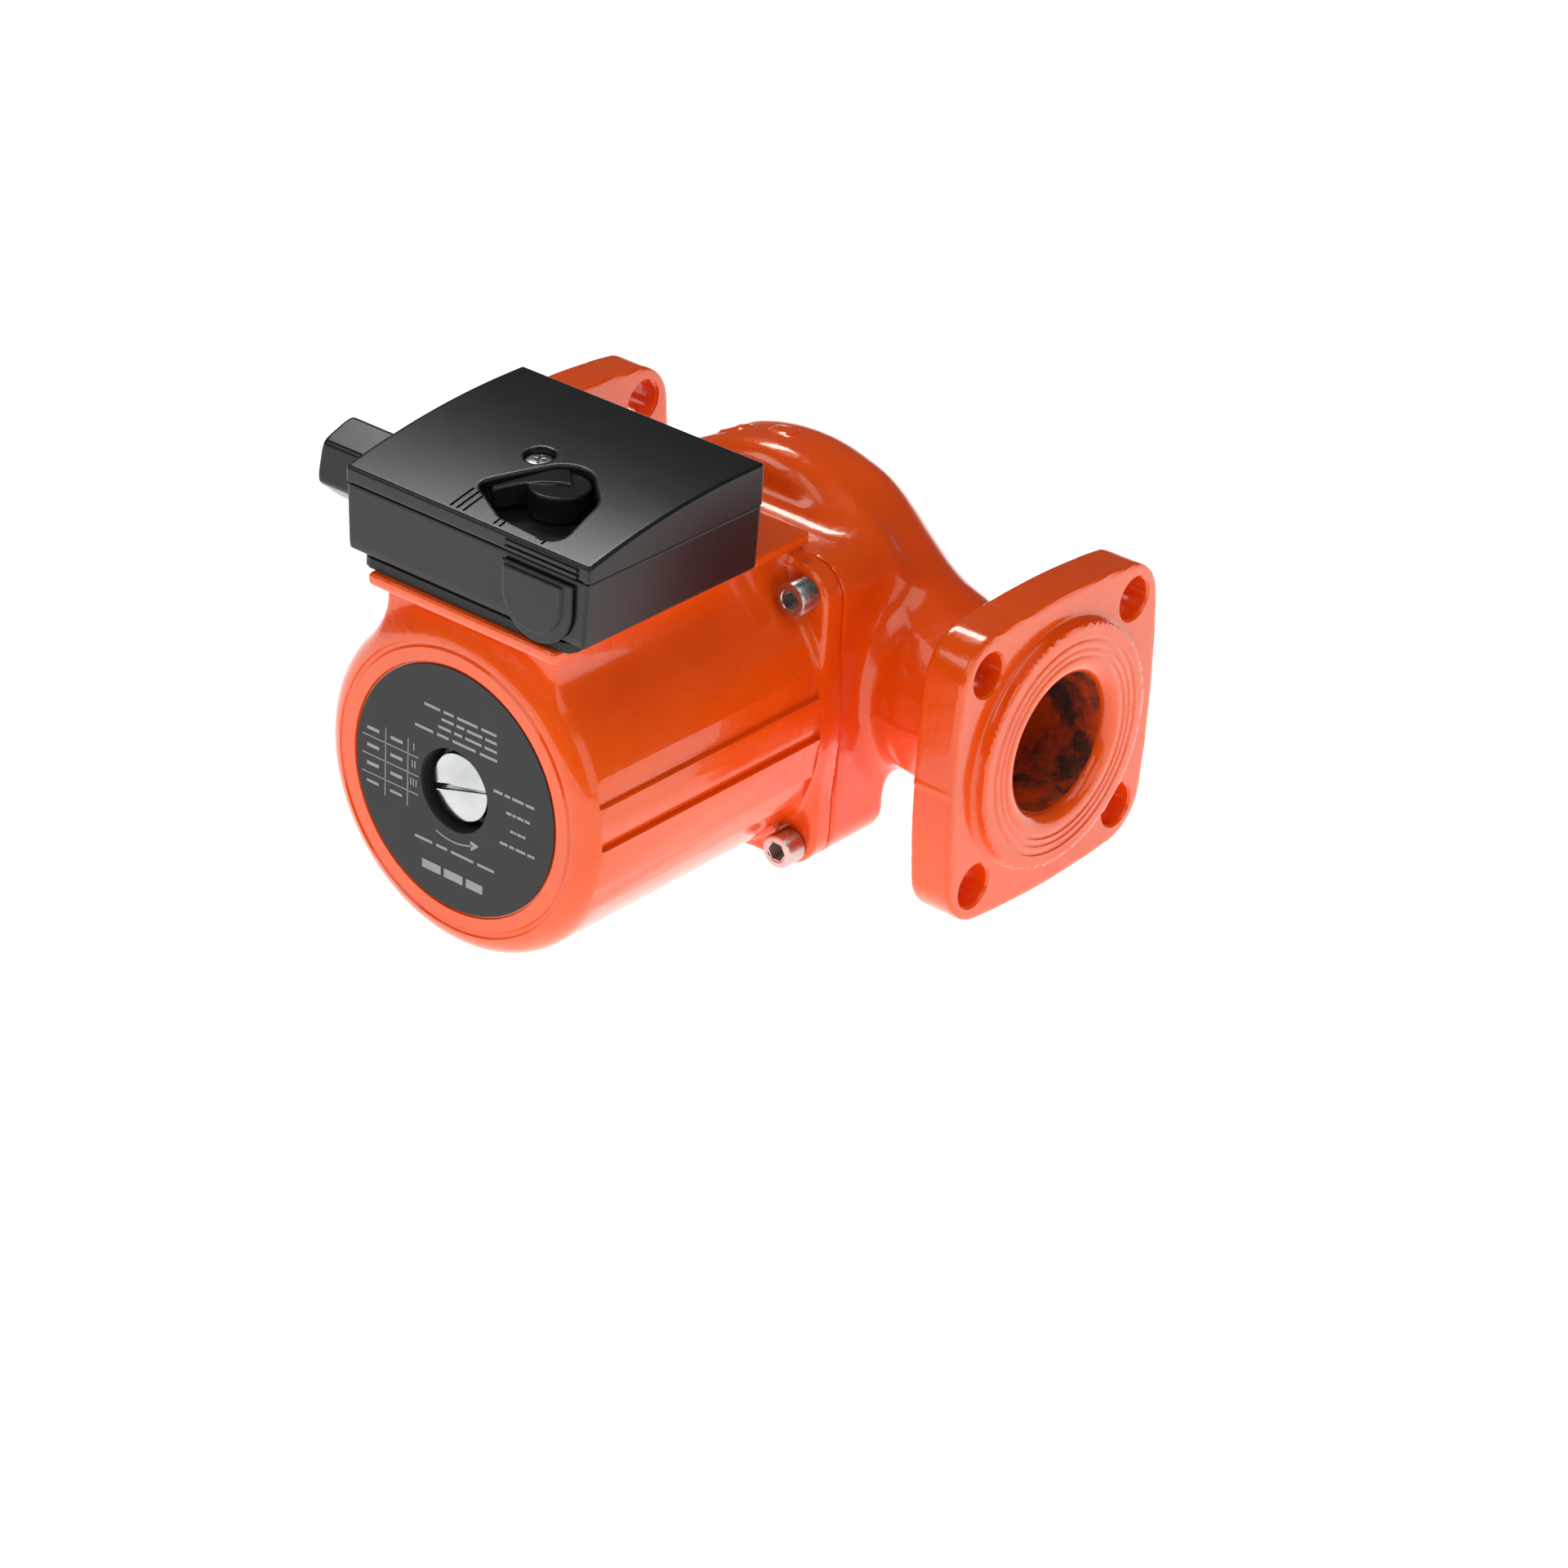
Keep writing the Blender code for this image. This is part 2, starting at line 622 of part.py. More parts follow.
def build_impeller():
    hub_radius = 0.0090
    bore = SHAFT_RADIUS + GAP
    plate_front = 0.0118
    plate_back = 0.0098
    shroud_front = 0.0030
    shroud_back = 0.0015
    impeller = turned("impeller", [
        (hub_radius, 0.0200), (hub_radius, plate_front), (IMPELLER_RADIUS, plate_front),
        (IMPELLER_RADIUS, plate_back), (hub_radius, plate_back), (0.0070, 0.0020), (bore, 0.0020),
        (bore, 0.0200)], IMPELLER_PLASTIC)
    shroud = turned("impeller_shroud", [
        (IMPELLER_RADIUS, shroud_front), (IMPELLER_RADIUS, shroud_back), (0.0150, shroud_back),
        (0.0150, -0.0030), (0.0136, -0.0030), (0.0136, 0.0024), (0.0148, shroud_front)])
    join(impeller, shroud)
    for number in range(BLADE_COUNT):
        blade = plate("impeller_blade", blade_outline(), plate_back - shroud_front + 0.001,
                      (0, -shroud_front + 0.0005, 0), "-Y")
        blade.rotation_mode = "QUATERNION"
        about_shaft = Matrix.Rotation(2 * math.pi * number / BLADE_COUNT, 4, "Y")
        facing = Matrix.Rotation(math.pi / 2, 4, "X")
        blade.rotation_quaternion = (about_shaft @ facing).to_quaternion()
        join(impeller, blade)


def build_stator():
    outer = BORE_RADIUS - GAP
    inner = CAN_RADIUS + GAP
    front_y = -0.0920
    back_y = -0.0460
    stator = ring("stator_stack", outer, inner, front_y, back_y, LAMINATION)
    for number in range(STATOR_SLOTS):
        slot = box("stator_slot", (0.0225, front_y - 0.001, -0.0025), (0.0345, back_y + 0.001, 0.0025))
        mouth = box("slot_mouth", (0.0190, front_y - 0.001, -0.0008), (0.0230, back_y + 0.001, 0.0008))
        turn = Matrix.Rotation(2 * math.pi * (number + 0.5) / STATOR_SLOTS, 3, "Y")
        for item in (slot, mouth):
            item.location = turn @ item.location
            item.rotation_euler = turn.to_euler()
            cut(stator, item)


def build_winding(name, near_y, far_y):
    """The rounded end turns of the coils, on one face of the stator."""
    middle = (near_y + far_y) / 2
    half_length = abs(far_y - near_y) / 2
    inner = 0.0235
    outer = 0.0390
    corner = 0.0030
    profile = []
    for across, up, start in ((outer - corner, -middle + half_length - corner, 90),
                              (outer - corner, -middle - half_length + corner, 0),
                              (inner + corner, -middle - half_length + corner, -90),
                              (inner + corner, -middle + half_length - corner, -180)):
        profile += arc(across, up, corner, start, start - 90, 1)
    turned(name, profile, COPPER, steps=24)


def build_vent_plug():
    head_radius = 0.00985
    top = 0.1335
    under_head = top - 0.0026
    plug = turned("vent_plug", [
        (0, top), (head_radius - 0.0003, top), (head_radius, top - 0.0003), (head_radius, under_head),
        (0.0078, under_head), (0.0078, 0.1196), (0, 0.1196)], CHROME)
    slot = box("vent_plug_slot", (-0.011, -top - 0.001, -0.0009), (0.011, -top + 0.0012, 0.0009))
    slot.rotation_euler.y = math.radians(-VENT_SLOT_TILT)
    cut(plug, slot)
    ring("vent_plug_seal", 0.0098, 0.0081, -under_head + GAP, -0.1290, RUBBER)


# ---------------------------------------------------------------- terminal box

def box_outline(inset, bottom):
    """The side view of the cover as (y, z) points: flat at the back, curving down in front."""
    start = BOX_CURVE_START_Y
    radius = BOX_CURVE_RADIUS - inset
    top = BOX_TOP - inset
    front = BOX_FRONT_Y + inset
    outline = [(BOX_BACK_Y - inset, bottom), (BOX_BACK_Y - inset, top)]
    steps = 6
    for step in range(steps + 1):
        along_y = start + (front - start) * step / steps
        drop = radius - math.sqrt(radius ** 2 - (along_y - start) ** 2)
        outline.append((along_y, top - drop))
    outline.append((front, bottom))
    return outline[::-1]


def well_outline(grow):
    """The rounded three-cornered well round the knob."""
    knob_x, knob_y = KNOB_CENTRE
    return hull_outline(((knob_x, knob_y, 0.0088 + grow),
                         (knob_x + 0.0062, knob_y - 0.0060, 0.0092 + grow),
                         (knob_x - 0.0138, knob_y - 0.0110, 0.0030 + grow),
                         (knob_x, knob_y - 0.0115, 0.0087 + grow),
                         (knob_x + 0.0135, knob_y - 0.0170, 0.0043 + grow)))


def build_cover():
    split = BOX_SPLIT + GAP
    cover = plate("terminal_box_cover", box_outline(0, split), 2 * BOX_HALF, (-BOX_HALF, 0, 0),
                  "X sideways", BLACK_PLASTIC)
    inside_half = BOX_HALF - BOX_WALL
    inside = plate("cover_inside", box_outline(BOX_WALL, split - 0.005), 2 * inside_half,
                   (-inside_half, 0, 0), "X sideways")
    wall = 0.0015
    floor_under = WELL_FLOOR - wall
    well_body = plate("well_body", well_outline(wall), 0.016, (0, 0, floor_under), "Z")
    post_x, post_y = COVER_SCREW
    post = rod("cover_post", COVER_SCREW_WELL_RADIUS + wall, (post_x, post_y, 0.0775), 0.0130, "Z")
    cut(inside, well_body, post)
    cut(cover, inside)
    well = plate("well", well_outline(0), 0.020, (0, 0, WELL_FLOOR), "Z")
    stem_hole = rod("stem_hole", 0.0043, (*KNOB_CENTRE, floor_under - 0.001), 0.005, "Z")
    counterbore = rod("cover_screw_well", COVER_SCREW_WELL_RADIUS, (post_x, post_y, 0.0817), 0.010, "Z")
    screw_hole = rod("cover_screw_hole", 0.0023, (post_x, post_y, 0.070), 0.014, "Z", segments=16)
    cut(cover, well, stem_hole, counterbore, screw_hole)


def build_base():
    right = [(BASE_HALF_BOTTOM - BASE_CHAMFER, BOX_BOTTOM), (BASE_HALF_BOTTOM, BOX_BOTTOM + BASE_CHAMFER),
             (BASE_HALF_TOP, BOX_SPLIT)]
    left = [(-across, up) for across, up in right[::-1]]
    base = plate("terminal_box_base", right + left, BOX_BACK_Y - BOX_FRONT_Y, (0, BOX_BACK_Y, 0), "-Y",
                 BLACK_PLASTIC)
    wall = BOX_WALL
    floor = BOX_BOTTOM + 0.0025
    inside = box("base_inside", (-BASE_HALF_BOTTOM + wall, BOX_FRONT_Y + wall, floor),
                 (BASE_HALF_BOTTOM - wall, BOX_BACK_Y - wall, BOX_SPLIT + 0.002))
    cut(base, inside)
    post_x, post_y = COVER_SCREW
    post = rod("base_post", 0.0045, (post_x, post_y, BOX_BOTTOM + 0.001), 0.0764 - BOX_BOTTOM - 0.001, "Z")
    join(base, post)
    post_bore = rod("base_post_bore", 0.0023, (post_x, post_y, 0.0620), 0.020, "Z", segments=16)
    cable = rod("base_cable_hole", 0.0055, (*CABLE_HOLE, BOX_BOTTOM - 0.001), 0.006, "Z")
    gland = rod("gland_hole", 0.0073, (-BOX_HALF + 0.0075, GLAND_Y, GLAND_Z), 0.009, "-X")
    cut(base, post_bore, cable, gland)
    for across, along_y in BASE_SCREWS:
        cut(base, rod("base_screw_clearance", 0.0023, (across, along_y, BOX_BOTTOM - 0.001), 0.006, "Z",
                      segments=12))


def build_box_gasket():
    gasket = box("box_gasket", (-0.0370, -0.1332, PEDESTAL_TOP + GAP), (0.0370, -0.0660, BOX_BOTTOM - GAP),
                 RUBBER, rounding=0.003, along="Z", segments=2)
    cable = rod("gasket_cable_hole", 0.0055, (*CABLE_HOLE, 0.050), 0.010, "Z")
    cut(gasket, cable)
    for across, along_y in BASE_SCREWS:
        cut(gasket, rod("gasket_screw_hole", 0.0023, (across, along_y, 0.050), 0.010, "Z", segments=12))


def build_small_screw(name, place, head_radius, head_bottom, head_height, shank_radius, tip):
    """A pan head screw along Z with a cross cut into its head."""
    across, along_y = place
    top = head_bottom + head_height
    edge = 0.0004
    screw = turned(name, [(0, top), (head_radius - edge, top), (head_radius, top - edge),
                          (head_radius, head_bottom), (shank_radius, head_bottom), (shank_radius, tip),
                          (0, tip)], STEEL, axis="Z", centre_point=(across, along_y, 0), steps=20)
    half = 0.0004
    reach = 0.6 * head_radius
    for turn in (0, 90):
        slot = box(name + "_drive", (-reach, -half, top - 0.001), (reach, half, top + 0.001))
        slot.location += Vector((across, along_y, 0))
        slot.rotation_euler.z = math.radians(turn)
        cut(screw, slot)


def build_knob():
    """The pointer knob in the cover's well, and the square spindle of the switch below it."""
    pivot = bpy.data.objects.new("knob_axis", None)
    pivot.parent = centre
    pivot.location = (*KNOB_CENTRE, 0)
    pivot.rotation_euler.z = math.radians(KNOB_REST_ANGLE)
    PARTS.objects.link(pivot)
    floor = WELL_FLOOR + GAP
    disc_top = 0.0840
    pointer_bottom = 0.0776
    pointer_top = 0.0848
    above = pointer_top + 0.0010
    socket_bottom = 0.0725
    stem = 0.0039
    knob = turned("speed_knob", [
        (0, disc_top), (KNOB_RADIUS - 0.0008, disc_top), (KNOB_RADIUS, disc_top - 0.0008),
        (KNOB_RADIUS, floor), (stem, floor), (stem, socket_bottom), (0, socket_bottom)],
        BLACK_PLASTIC, axis="Z")
    tip = 0.0014
    teardrop = hull_outline(((0, 0, KNOB_RADIUS - 0.0004), (POINTER_LENGTH - tip, 0, tip)))
    pointer = plate("knob_pointer", teardrop, pointer_top - pointer_bottom, (0, 0, pointer_bottom), "Z")
    side = box("pointer_side", (-0.010, 0.0003, pointer_bottom - 0.001), (0.020, 0.010, above))
    back = box("pointer_back", (-0.010, -0.010, disc_top), (-0.0033, 0.010, above))
    slope = box("pointer_slope", (-0.002, -0.010, 0.0839), (0.024, 0.010, 0.0890))
    slope.rotation_euler.y = math.radians(POINTER_SLOPE)
    cut(pointer, side, back, slope)
    join(knob, pointer)
    square = 0.0019
    socket = box("knob_socket", (-square, -square, socket_bottom - 0.001), (square, square, 0.0790))
    cut(knob, socket)
    spindle_half = square - GAP
    spindle = box("switch_spindle", (-spindle_half, -spindle_half, 0.0660), (spindle_half, spindle_half, 0.0785),
                  GREY_PLASTIC)
    for item in (knob, pointer, side, back, slope, socket, spindle):
        item.parent = pivot


def build_switch():
    knob_x, knob_y = KNOB_CENTRE
    floor = BOX_BOTTOM + 0.0025 + GAP
    half_x = 0.0085
    half_y = 0.0110
    switch = box("speed_switch", (knob_x - half_x, knob_y - half_y, floor),
                 (knob_x + half_x, knob_y + half_y, 0.0720), GREY_PLASTIC, rounding=0.001, along="Z", segments=1)
    well = rod("switch_well", 0.0030, (knob_x, knob_y, 0.0650), 0.010, "Z", segments=16)
    cut(switch, well)


def build_box_internals():
    floor = BOX_BOTTOM + 0.0025 + GAP
    capacitor_radius = 0.0095
    turned("capacitor", [
        (0, 0.040), (capacitor_radius - 0.001, 0.040), (capacitor_radius, 0.039), (capacitor_radius, 0.001),
        (capacitor_radius - 0.001, 0), (0, 0)], GREY_PLASTIC, axis="X",
        centre_point=(-0.008, -0.0790, floor + capacitor_radius))
    terminal_x = -0.0260
    terminal_ys = (-0.1195, -0.1110, -0.1025)
    block = box("terminal_block", (-0.0320, -0.1240, floor), (-0.0200, -0.0980, 0.0710), GREY_PLASTIC)
    for number, terminal_y in enumerate(terminal_ys, 1):
        cut(block, rod("terminal_screw_bore", 0.0026, (terminal_x, terminal_y, 0.0640), 0.010, "Z", segments=16))
        cut(block, rod("wire_entry", 0.0016, (-0.0190, terminal_y, 0.0650), 0.016, "-X", segments=12))
        build_terminal_screw(f"terminal_screw_{number}", (terminal_x, terminal_y))


def build_terminal_screw(name, place):
    across, along_y = place
    top = 0.0705
    radius = 0.0022
    screw = turned(name, [(0, top), (radius, top), (radius, 0.0670), (0, 0.0670)], STEEL, axis="Z",
                   centre_point=(across, along_y, 0), steps=16)
    slot = box(name + "_slot", (across - radius - 0.001, along_y - 0.0004, top - 0.0008),
               (across + radius + 0.001, along_y + 0.0004, top + 0.001))
    cut(screw, slot)


def build_blanking_cover():
    """The arched blank over the spare cable entry, on the box's front near its right corner."""
    middle_x = 0.0261
    radius = 0.0122
    centre_z = 0.0658
    outline = arc(middle_x, centre_z, radius, 180, 360, 16)
    outline += [(middle_x + radius, 0.0735), (middle_x - radius, 0.0735)]
    plate("blanking_cover", outline, 0.0018, (0, BOX_FRONT_Y - GAP, 0), "-Y", BLACK_PLASTIC)


def build_gland():
    """Cable gland on the box's left wall: body through the wall, rubber seal, and nut."""
    wall_x = -BOX_HALF
    thread = 0.0070
    bore = 0.0045
    inner_end = wall_x + 0.0060
    collar_start = wall_x - GAP
    collar_end = collar_start - 0.0040
    thread_end = -0.0575

    body = turned("gland_body", [
        (thread, -thread_end), (thread, -inner_end), (bore, -inner_end), (bore, -thread_end)],
        BLACK_PLASTIC, axis="-X", centre_point=(0, GLAND_Y, GLAND_Z), steps=24)
    collar = rod("gland_collar", 0.0112, (collar_start, GLAND_Y, GLAND_Z), 0.0040, "-X", segments=6,
                 spin=GLAND_SPIN)
    collar_bore = rod("gland_collar_bore", (thread + bore) / 2, (collar_start + 0.001, GLAND_Y, GLAND_Z),
                      0.0060, "-X")
    cut(collar, collar_bore)
    join(body, collar)

    nut = rod("gland_nut", 0.0115, (collar_end - GAP, GLAND_Y, GLAND_Z),
              collar_end - GAP - GLAND_END_X, "-X", BLACK_PLASTIC, segments=6, spin=GLAND_SPIN)
    nut_bore = rod("gland_nut_bore", thread + GAP, (collar_end + 0.001, GLAND_Y, GLAND_Z), 0.0188, "-X")
    nut_mouth = rod("gland_nut_mouth", 0.0050, (-0.0620, GLAND_Y, GLAND_Z), 0.006, "-X")
    cut(nut, nut_bore, nut_mouth)
    turned("gland_seal", [
        (0.0068, 0.0618), (0.0068, 0.0580), (bore, 0.0580), (bore, 0.0618)],
        RUBBER, axis="-X", centre_point=(0, GLAND_Y, GLAND_Z), steps=24)


build_pump_housing()
build_motor_housing()
build_housing_screws()
build_nameplate()
build_shaft()
ring("rotor", ROTOR_RADIUS, SHAFT_RADIUS + GAP, -0.0960, -0.0420, LAMINATION)
ring("thrust_ring", 0.0090, SHAFT_RADIUS + GAP, -0.0405, -0.0378, CERAMIC)
ring("front_bearing", BEARING_RADIUS, BEARING_BORE_RADIUS, -0.1165, -0.1045, CERAMIC)
ring("rear_bearing", BEARING_RADIUS, BEARING_BORE_RADIUS, -0.0368, -0.0236, CERAMIC)
ring("neck_ring", EYE_RADIUS - GAP, 0.0154, CHAMBER_BACK_Y + GAP, SUCTION_FRONT_Y - GAP, STAINLESS)
ring("housing_gasket", CAN_FLANGE_RADIUS, 0.0380, -0.0309, -0.0296, RUBBER)
build_rotor_can()
build_bearing_plate()
build_impeller()
build_stator()
build_winding("winding_front", -0.0925, -0.1000)
build_winding("winding_rear", -0.0455, -0.0350)
build_vent_plug()
build_base()
build_cover()
build_box_gasket()
build_small_screw("cover_screw", COVER_SCREW, 0.0036, 0.0820, 0.0024, 0.0019, 0.0660)
for label, place in zip(("left", "right"), BASE_SCREWS):
    build_small_screw("base_screw_" + label, place, 0.0034, 0.0588, 0.0022, 0.0018, 0.0460)
build_knob()
build_switch()
build_box_internals()
build_blanking_cover()
build_gland()
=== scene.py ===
"""Looks of the flanged circulator pump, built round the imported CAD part.

Castings and mouldings are distance fields in millimetres from the pump centre, where the
shaft axis crosses the port axis; they are meshed with a surface net and then machined with
boolean cuts. Turned and pressed pieces are built from profiles. Blender objects are in metres.
"""
import math

import bmesh
import bpy
import numpy as np
from mathutils import Matrix, Vector, geometry


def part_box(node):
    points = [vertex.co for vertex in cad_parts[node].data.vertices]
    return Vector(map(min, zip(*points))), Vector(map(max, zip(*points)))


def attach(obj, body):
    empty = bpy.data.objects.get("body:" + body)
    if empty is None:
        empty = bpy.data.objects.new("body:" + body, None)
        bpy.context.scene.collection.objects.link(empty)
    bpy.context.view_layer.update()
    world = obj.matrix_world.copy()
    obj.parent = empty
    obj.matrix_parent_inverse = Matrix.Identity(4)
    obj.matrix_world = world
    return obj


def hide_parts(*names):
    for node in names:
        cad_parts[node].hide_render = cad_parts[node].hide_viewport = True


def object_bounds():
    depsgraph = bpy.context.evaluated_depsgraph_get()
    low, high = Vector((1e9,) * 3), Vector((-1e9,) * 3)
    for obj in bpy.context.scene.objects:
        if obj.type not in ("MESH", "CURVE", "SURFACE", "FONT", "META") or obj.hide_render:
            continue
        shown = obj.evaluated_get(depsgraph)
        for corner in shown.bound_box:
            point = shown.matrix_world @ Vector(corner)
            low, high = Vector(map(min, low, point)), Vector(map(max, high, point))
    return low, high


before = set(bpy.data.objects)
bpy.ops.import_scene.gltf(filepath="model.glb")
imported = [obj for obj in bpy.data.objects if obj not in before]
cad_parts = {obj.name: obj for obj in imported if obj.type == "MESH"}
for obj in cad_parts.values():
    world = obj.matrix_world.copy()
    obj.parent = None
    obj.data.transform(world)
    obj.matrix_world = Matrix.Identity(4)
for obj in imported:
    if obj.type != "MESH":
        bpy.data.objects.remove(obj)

CAD_LOW, CAD_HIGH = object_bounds()
MM = 0.001
GAP = 0.3

# The pump centre: on the shaft's axis, and a fixed way behind the motor's joint face
JOINT_FROM_CENTRE = 32.3
shaft_low, shaft_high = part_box("shaft")
CENTRE = Vector(((shaft_low.x + shaft_high.x) / 2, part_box("motor_housing")[1].y + JOINT_FROM_CENTRE * MM,
                 (shaft_low.z + shaft_high.z) / 2))


# ---------------------------------------------------------------- distance fields

def length(*parts):
    total = 0
    for part in parts:
        total = total + part * part
    return np.sqrt(total)


def above(value):
    return np.maximum(value, 0)


def both(first, second, rounding=0.0):
    """Intersection of two fields with a rounded edge."""
    a = first + rounding
    b = second + rounding
    return np.minimum(np.maximum(a, b), 0) + length(above(a), above(b)) - rounding


def all_of(fields, rounding=0.0):
    """Intersection of several fields with rounded edges and corners."""
    grown = [field + rounding for field in fields]
    most = grown[0]
    outer = above(grown[0]) ** 2
    for field in grown[1:]:
        most = np.maximum(most, field)
        outer = outer + above(field) ** 2
    return np.minimum(most, 0) + np.sqrt(outer) - rounding


def blend(first, second, fillet):
    """Union of two fields with a fillet."""
    share = above(fillet - np.abs(first - second)) / fillet
    return np.minimum(first, second) - share * share * fillet / 4


def carve(first, second, fillet=0.4):
    """The first field with the second taken away, and the edge eased."""
    return -blend(-first, second, fillet)


def span(value, low, high):
    return np.abs(value - (low + high) / 2) - (high - low) / 2


def disc(x, z, radius, centre_x=0.0, centre_z=0.0):
    return length(x - centre_x, z - centre_z) - radius


def square(x, z, half, corner):
    return both(np.abs(x) - half, np.abs(z) - half, corner)


def bulged_square(x, z, half_middle, half_corner, corner):
    """A square whose sides are arcs that bulge in the middle."""
    inner = half_corner - corner
    bulge = half_middle - half_corner
    radius = (inner ** 2 + bulge ** 2) / (2 * bulge)
    offset = radius - half_middle
    side_x = length(np.abs(x) + offset, z) - radius
    side_z = length(np.abs(z) + offset, x) - radius
    return both(side_x, side_z, corner)


def tube(along, x, z, table):
    """A duct whose centre and radii follow a table of (along, centre x, centre z, radius x, radius z)."""
    table = np.array(sorted(table), float)
    fine = np.linspace(table[0, 0], table[-1, 0], 240)
    columns = []
    for column in range(1, 5):
        values = np.interp(fine, table[:, 0], table[:, column])
        padded = np.pad(values, 12, mode="edge")
        values = np.convolve(padded, np.hanning(27)[1:-1] / np.hanning(27)[1:-1].sum(), mode="valid")
        columns.append(np.interp(along, fine, values))
    centre_x, centre_z, radius_x, radius_z = columns
    reach = length((x - centre_x) / radius_x, (z - centre_z) / radius_z)
    return (reach - 1) * np.minimum(radius_x, radius_z)


def convex(x, y, outline):
    """Distance from a convex outline given counterclockwise, near its edge."""
    result = None
    for (ax, ay), (bx, by) in zip(outline, outline[1:] + outline[:1]):
        run = math.hypot(bx - ax, by - ay)
        if run < 1e-6:
            continue
        side = ((x - ax) * (by - ay) - (y - ay) * (bx - ax)) / run
        result = side if result is None else np.maximum(result, side)
    return result


CELL_CORNERS = np.array([(i, j, k) for i in (0, 1) for j in (0, 1) for k in (0, 1)])
CELL_EDGES = [(a, b) for a in range(8) for b in range(a + 1, 8)
              if np.abs(CELL_CORNERS[a] - CELL_CORNERS[b]).sum() == 1]


def pulled_on(points, field, rounds=3):
    """Move points along the field's slope until they lie on its zero surface."""
    reach = 0.02
    for _ in range(rounds):
        here = field(points[:, 0], points[:, 1], points[:, 2])
        slope = np.empty_like(points)
        for axis in range(3):
            moved = points.copy()
            moved[:, axis] += reach
            slope[:, axis] = (field(moved[:, 0], moved[:, 1], moved[:, 2]) - here) / reach
        size = np.maximum((slope ** 2).sum(1), 0.04)
        shift = np.clip(here / size, -1.0, 1.0)
        points = points - slope * shift[:, None]
    return points


def relaxed(points, quads):
    """Each point moved half way to the middle of its neighbours."""
    total = np.zeros_like(points)
    count = np.zeros(len(points))
    for start in range(4):
        a = quads[:, start]
        b = quads[:, (start + 1) % 4]
        for axis in range(3):
            total[:, axis] += np.bincount(a, points[b, axis], len(points))
            total[:, axis] += np.bincount(b, points[a, axis], len(points))
        count += np.bincount(a, minlength=len(points)) + np.bincount(b, minlength=len(points))
    return (points + total / count[:, None]) / 2


def surface_net(name, field, low, high, step):
    """A closed mesh of a field's zero surface inside a box, all in millimetres."""
    low = np.array(low, float) - 1.5 * step
    high = np.array(high, float) + 1.5 * step
    counts = np.ceil((high - low) / step).astype(int) + 1
    lines = [low[axis] + step * np.arange(counts[axis]) for axis in range(3)]
    x, y, z = np.meshgrid(*lines, indexing="ij", sparse=True)
    values = np.broadcast_to(field(x, y, z), counts).astype(np.float32)
    inside = values < 0
    full = np.zeros(counts - 1, np.uint8)
    for i, j, k in CELL_CORNERS:
        full += inside[i:counts[0] - 1 + i, j:counts[1] - 1 + j, k:counts[2] - 1 + k]
    cells = np.argwhere((full > 0) & (full < 8))
    corner_values = [values[tuple((cells + corner).T)] for corner in CELL_CORNERS]
    total = np.zeros((len(cells), 3))
    count = np.zeros(len(cells))
    for a, b in CELL_EDGES:
        crossing = (corner_values[a] < 0) != (corner_values[b] < 0)
        first = corner_values[a][crossing].astype(float)
        second = corner_values[b][crossing].astype(float)
        share = first / (first - second)
        total[crossing] += CELL_CORNERS[a] + share[:, None] * (CELL_CORNERS[b] - CELL_CORNERS[a])
        count[crossing] += 1
    points = low + step * (cells + total / count[:, None])
    number = np.full(counts - 1, -1, np.int32)
    number[tuple(cells.T)] = np.arange(len(cells))
    quads = []
    rounds = {0: ((0, 0), (1, 0), (1, 1), (0, 1)), 1: ((0, 0), (0, 1), (1, 1), (1, 0)),
              2: ((0, 0), (1, 0), (1, 1), (0, 1))}
    for axis in range(3):
        ahead = [slice(None)] * 3
        behind = [slice(None)] * 3
        ahead[axis] = slice(1, None)
        behind[axis] = slice(None, -1)
        changes = inside[tuple(behind)] != inside[tuple(ahead)]
        edges = np.argwhere(changes)
        outward = inside[tuple(edges.T)]
        others = [other for other in range(3) if other != axis]
        ring = []
        for a, b in rounds[axis]:
            cell = edges.copy()
            cell[:, others[0]] += a - 1
            cell[:, others[1]] += b - 1
            ring.append(number[tuple(cell.T)])
        ring = np.stack(ring, 1)
        ring[~outward] = ring[~outward][:, ::-1]
        quads.append(ring)
    quads = np.concatenate(quads)
    points = pulled_on(points, field, 2)
    for _ in range(2):
        points = pulled_on(relaxed(points, quads), field, 2)
    return new_object(name, points, quads)


# ---------------------------------------------------------------- meshes

def new_object(name, points, faces):
    """An object from points in millimetres from the pump centre."""
    mesh = bpy.data.meshes.new(name)
    points = np.asarray(points, float) * MM + np.array(CENTRE)
    if isinstance(faces, np.ndarray):
        sides = faces.shape[1]
        mesh.vertices.add(len(points))
        mesh.vertices.foreach_set("co", points.astype(np.float32).ravel())
        mesh.loops.add(faces.size)
        mesh.loops.foreach_set("vertex_index", faces.astype(np.int32).ravel())
        mesh.polygons.add(len(faces))
        mesh.polygons.foreach_set("loop_start", np.arange(0, faces.size, sides, dtype=np.int32))
        mesh.update(calc_edges=True)
    else:
        mesh.from_pydata([tuple(point) for point in points], [], faces)
    mesh.validate()
    mesh.shade_smooth()
    item = bpy.data.objects.new(name, mesh)
    bpy.context.scene.collection.objects.link(item)
    return item


def turn_to(axis):
    """Columns that take (x, y, along) to the pump's axes."""
    return {"X": np.array([[0, 0, 1], [1, 0, 0], [0, 1, 0]]),
            "-X": np.array([[0, 0, -1], [-1, 0, 0], [0, 1, 0]]),
            "Y": np.array([[-1, 0, 0], [0, 0, 1], [0, 1, 0]]),
            "-Y": np.array([[1, 0, 0], [0, 0, -1], [0, 1, 0]]),
            "Z": np.eye(3, dtype=int),
            "-Z": np.array([[1, 0, 0], [0, -1, 0], [0, 0, -1]])}[axis]


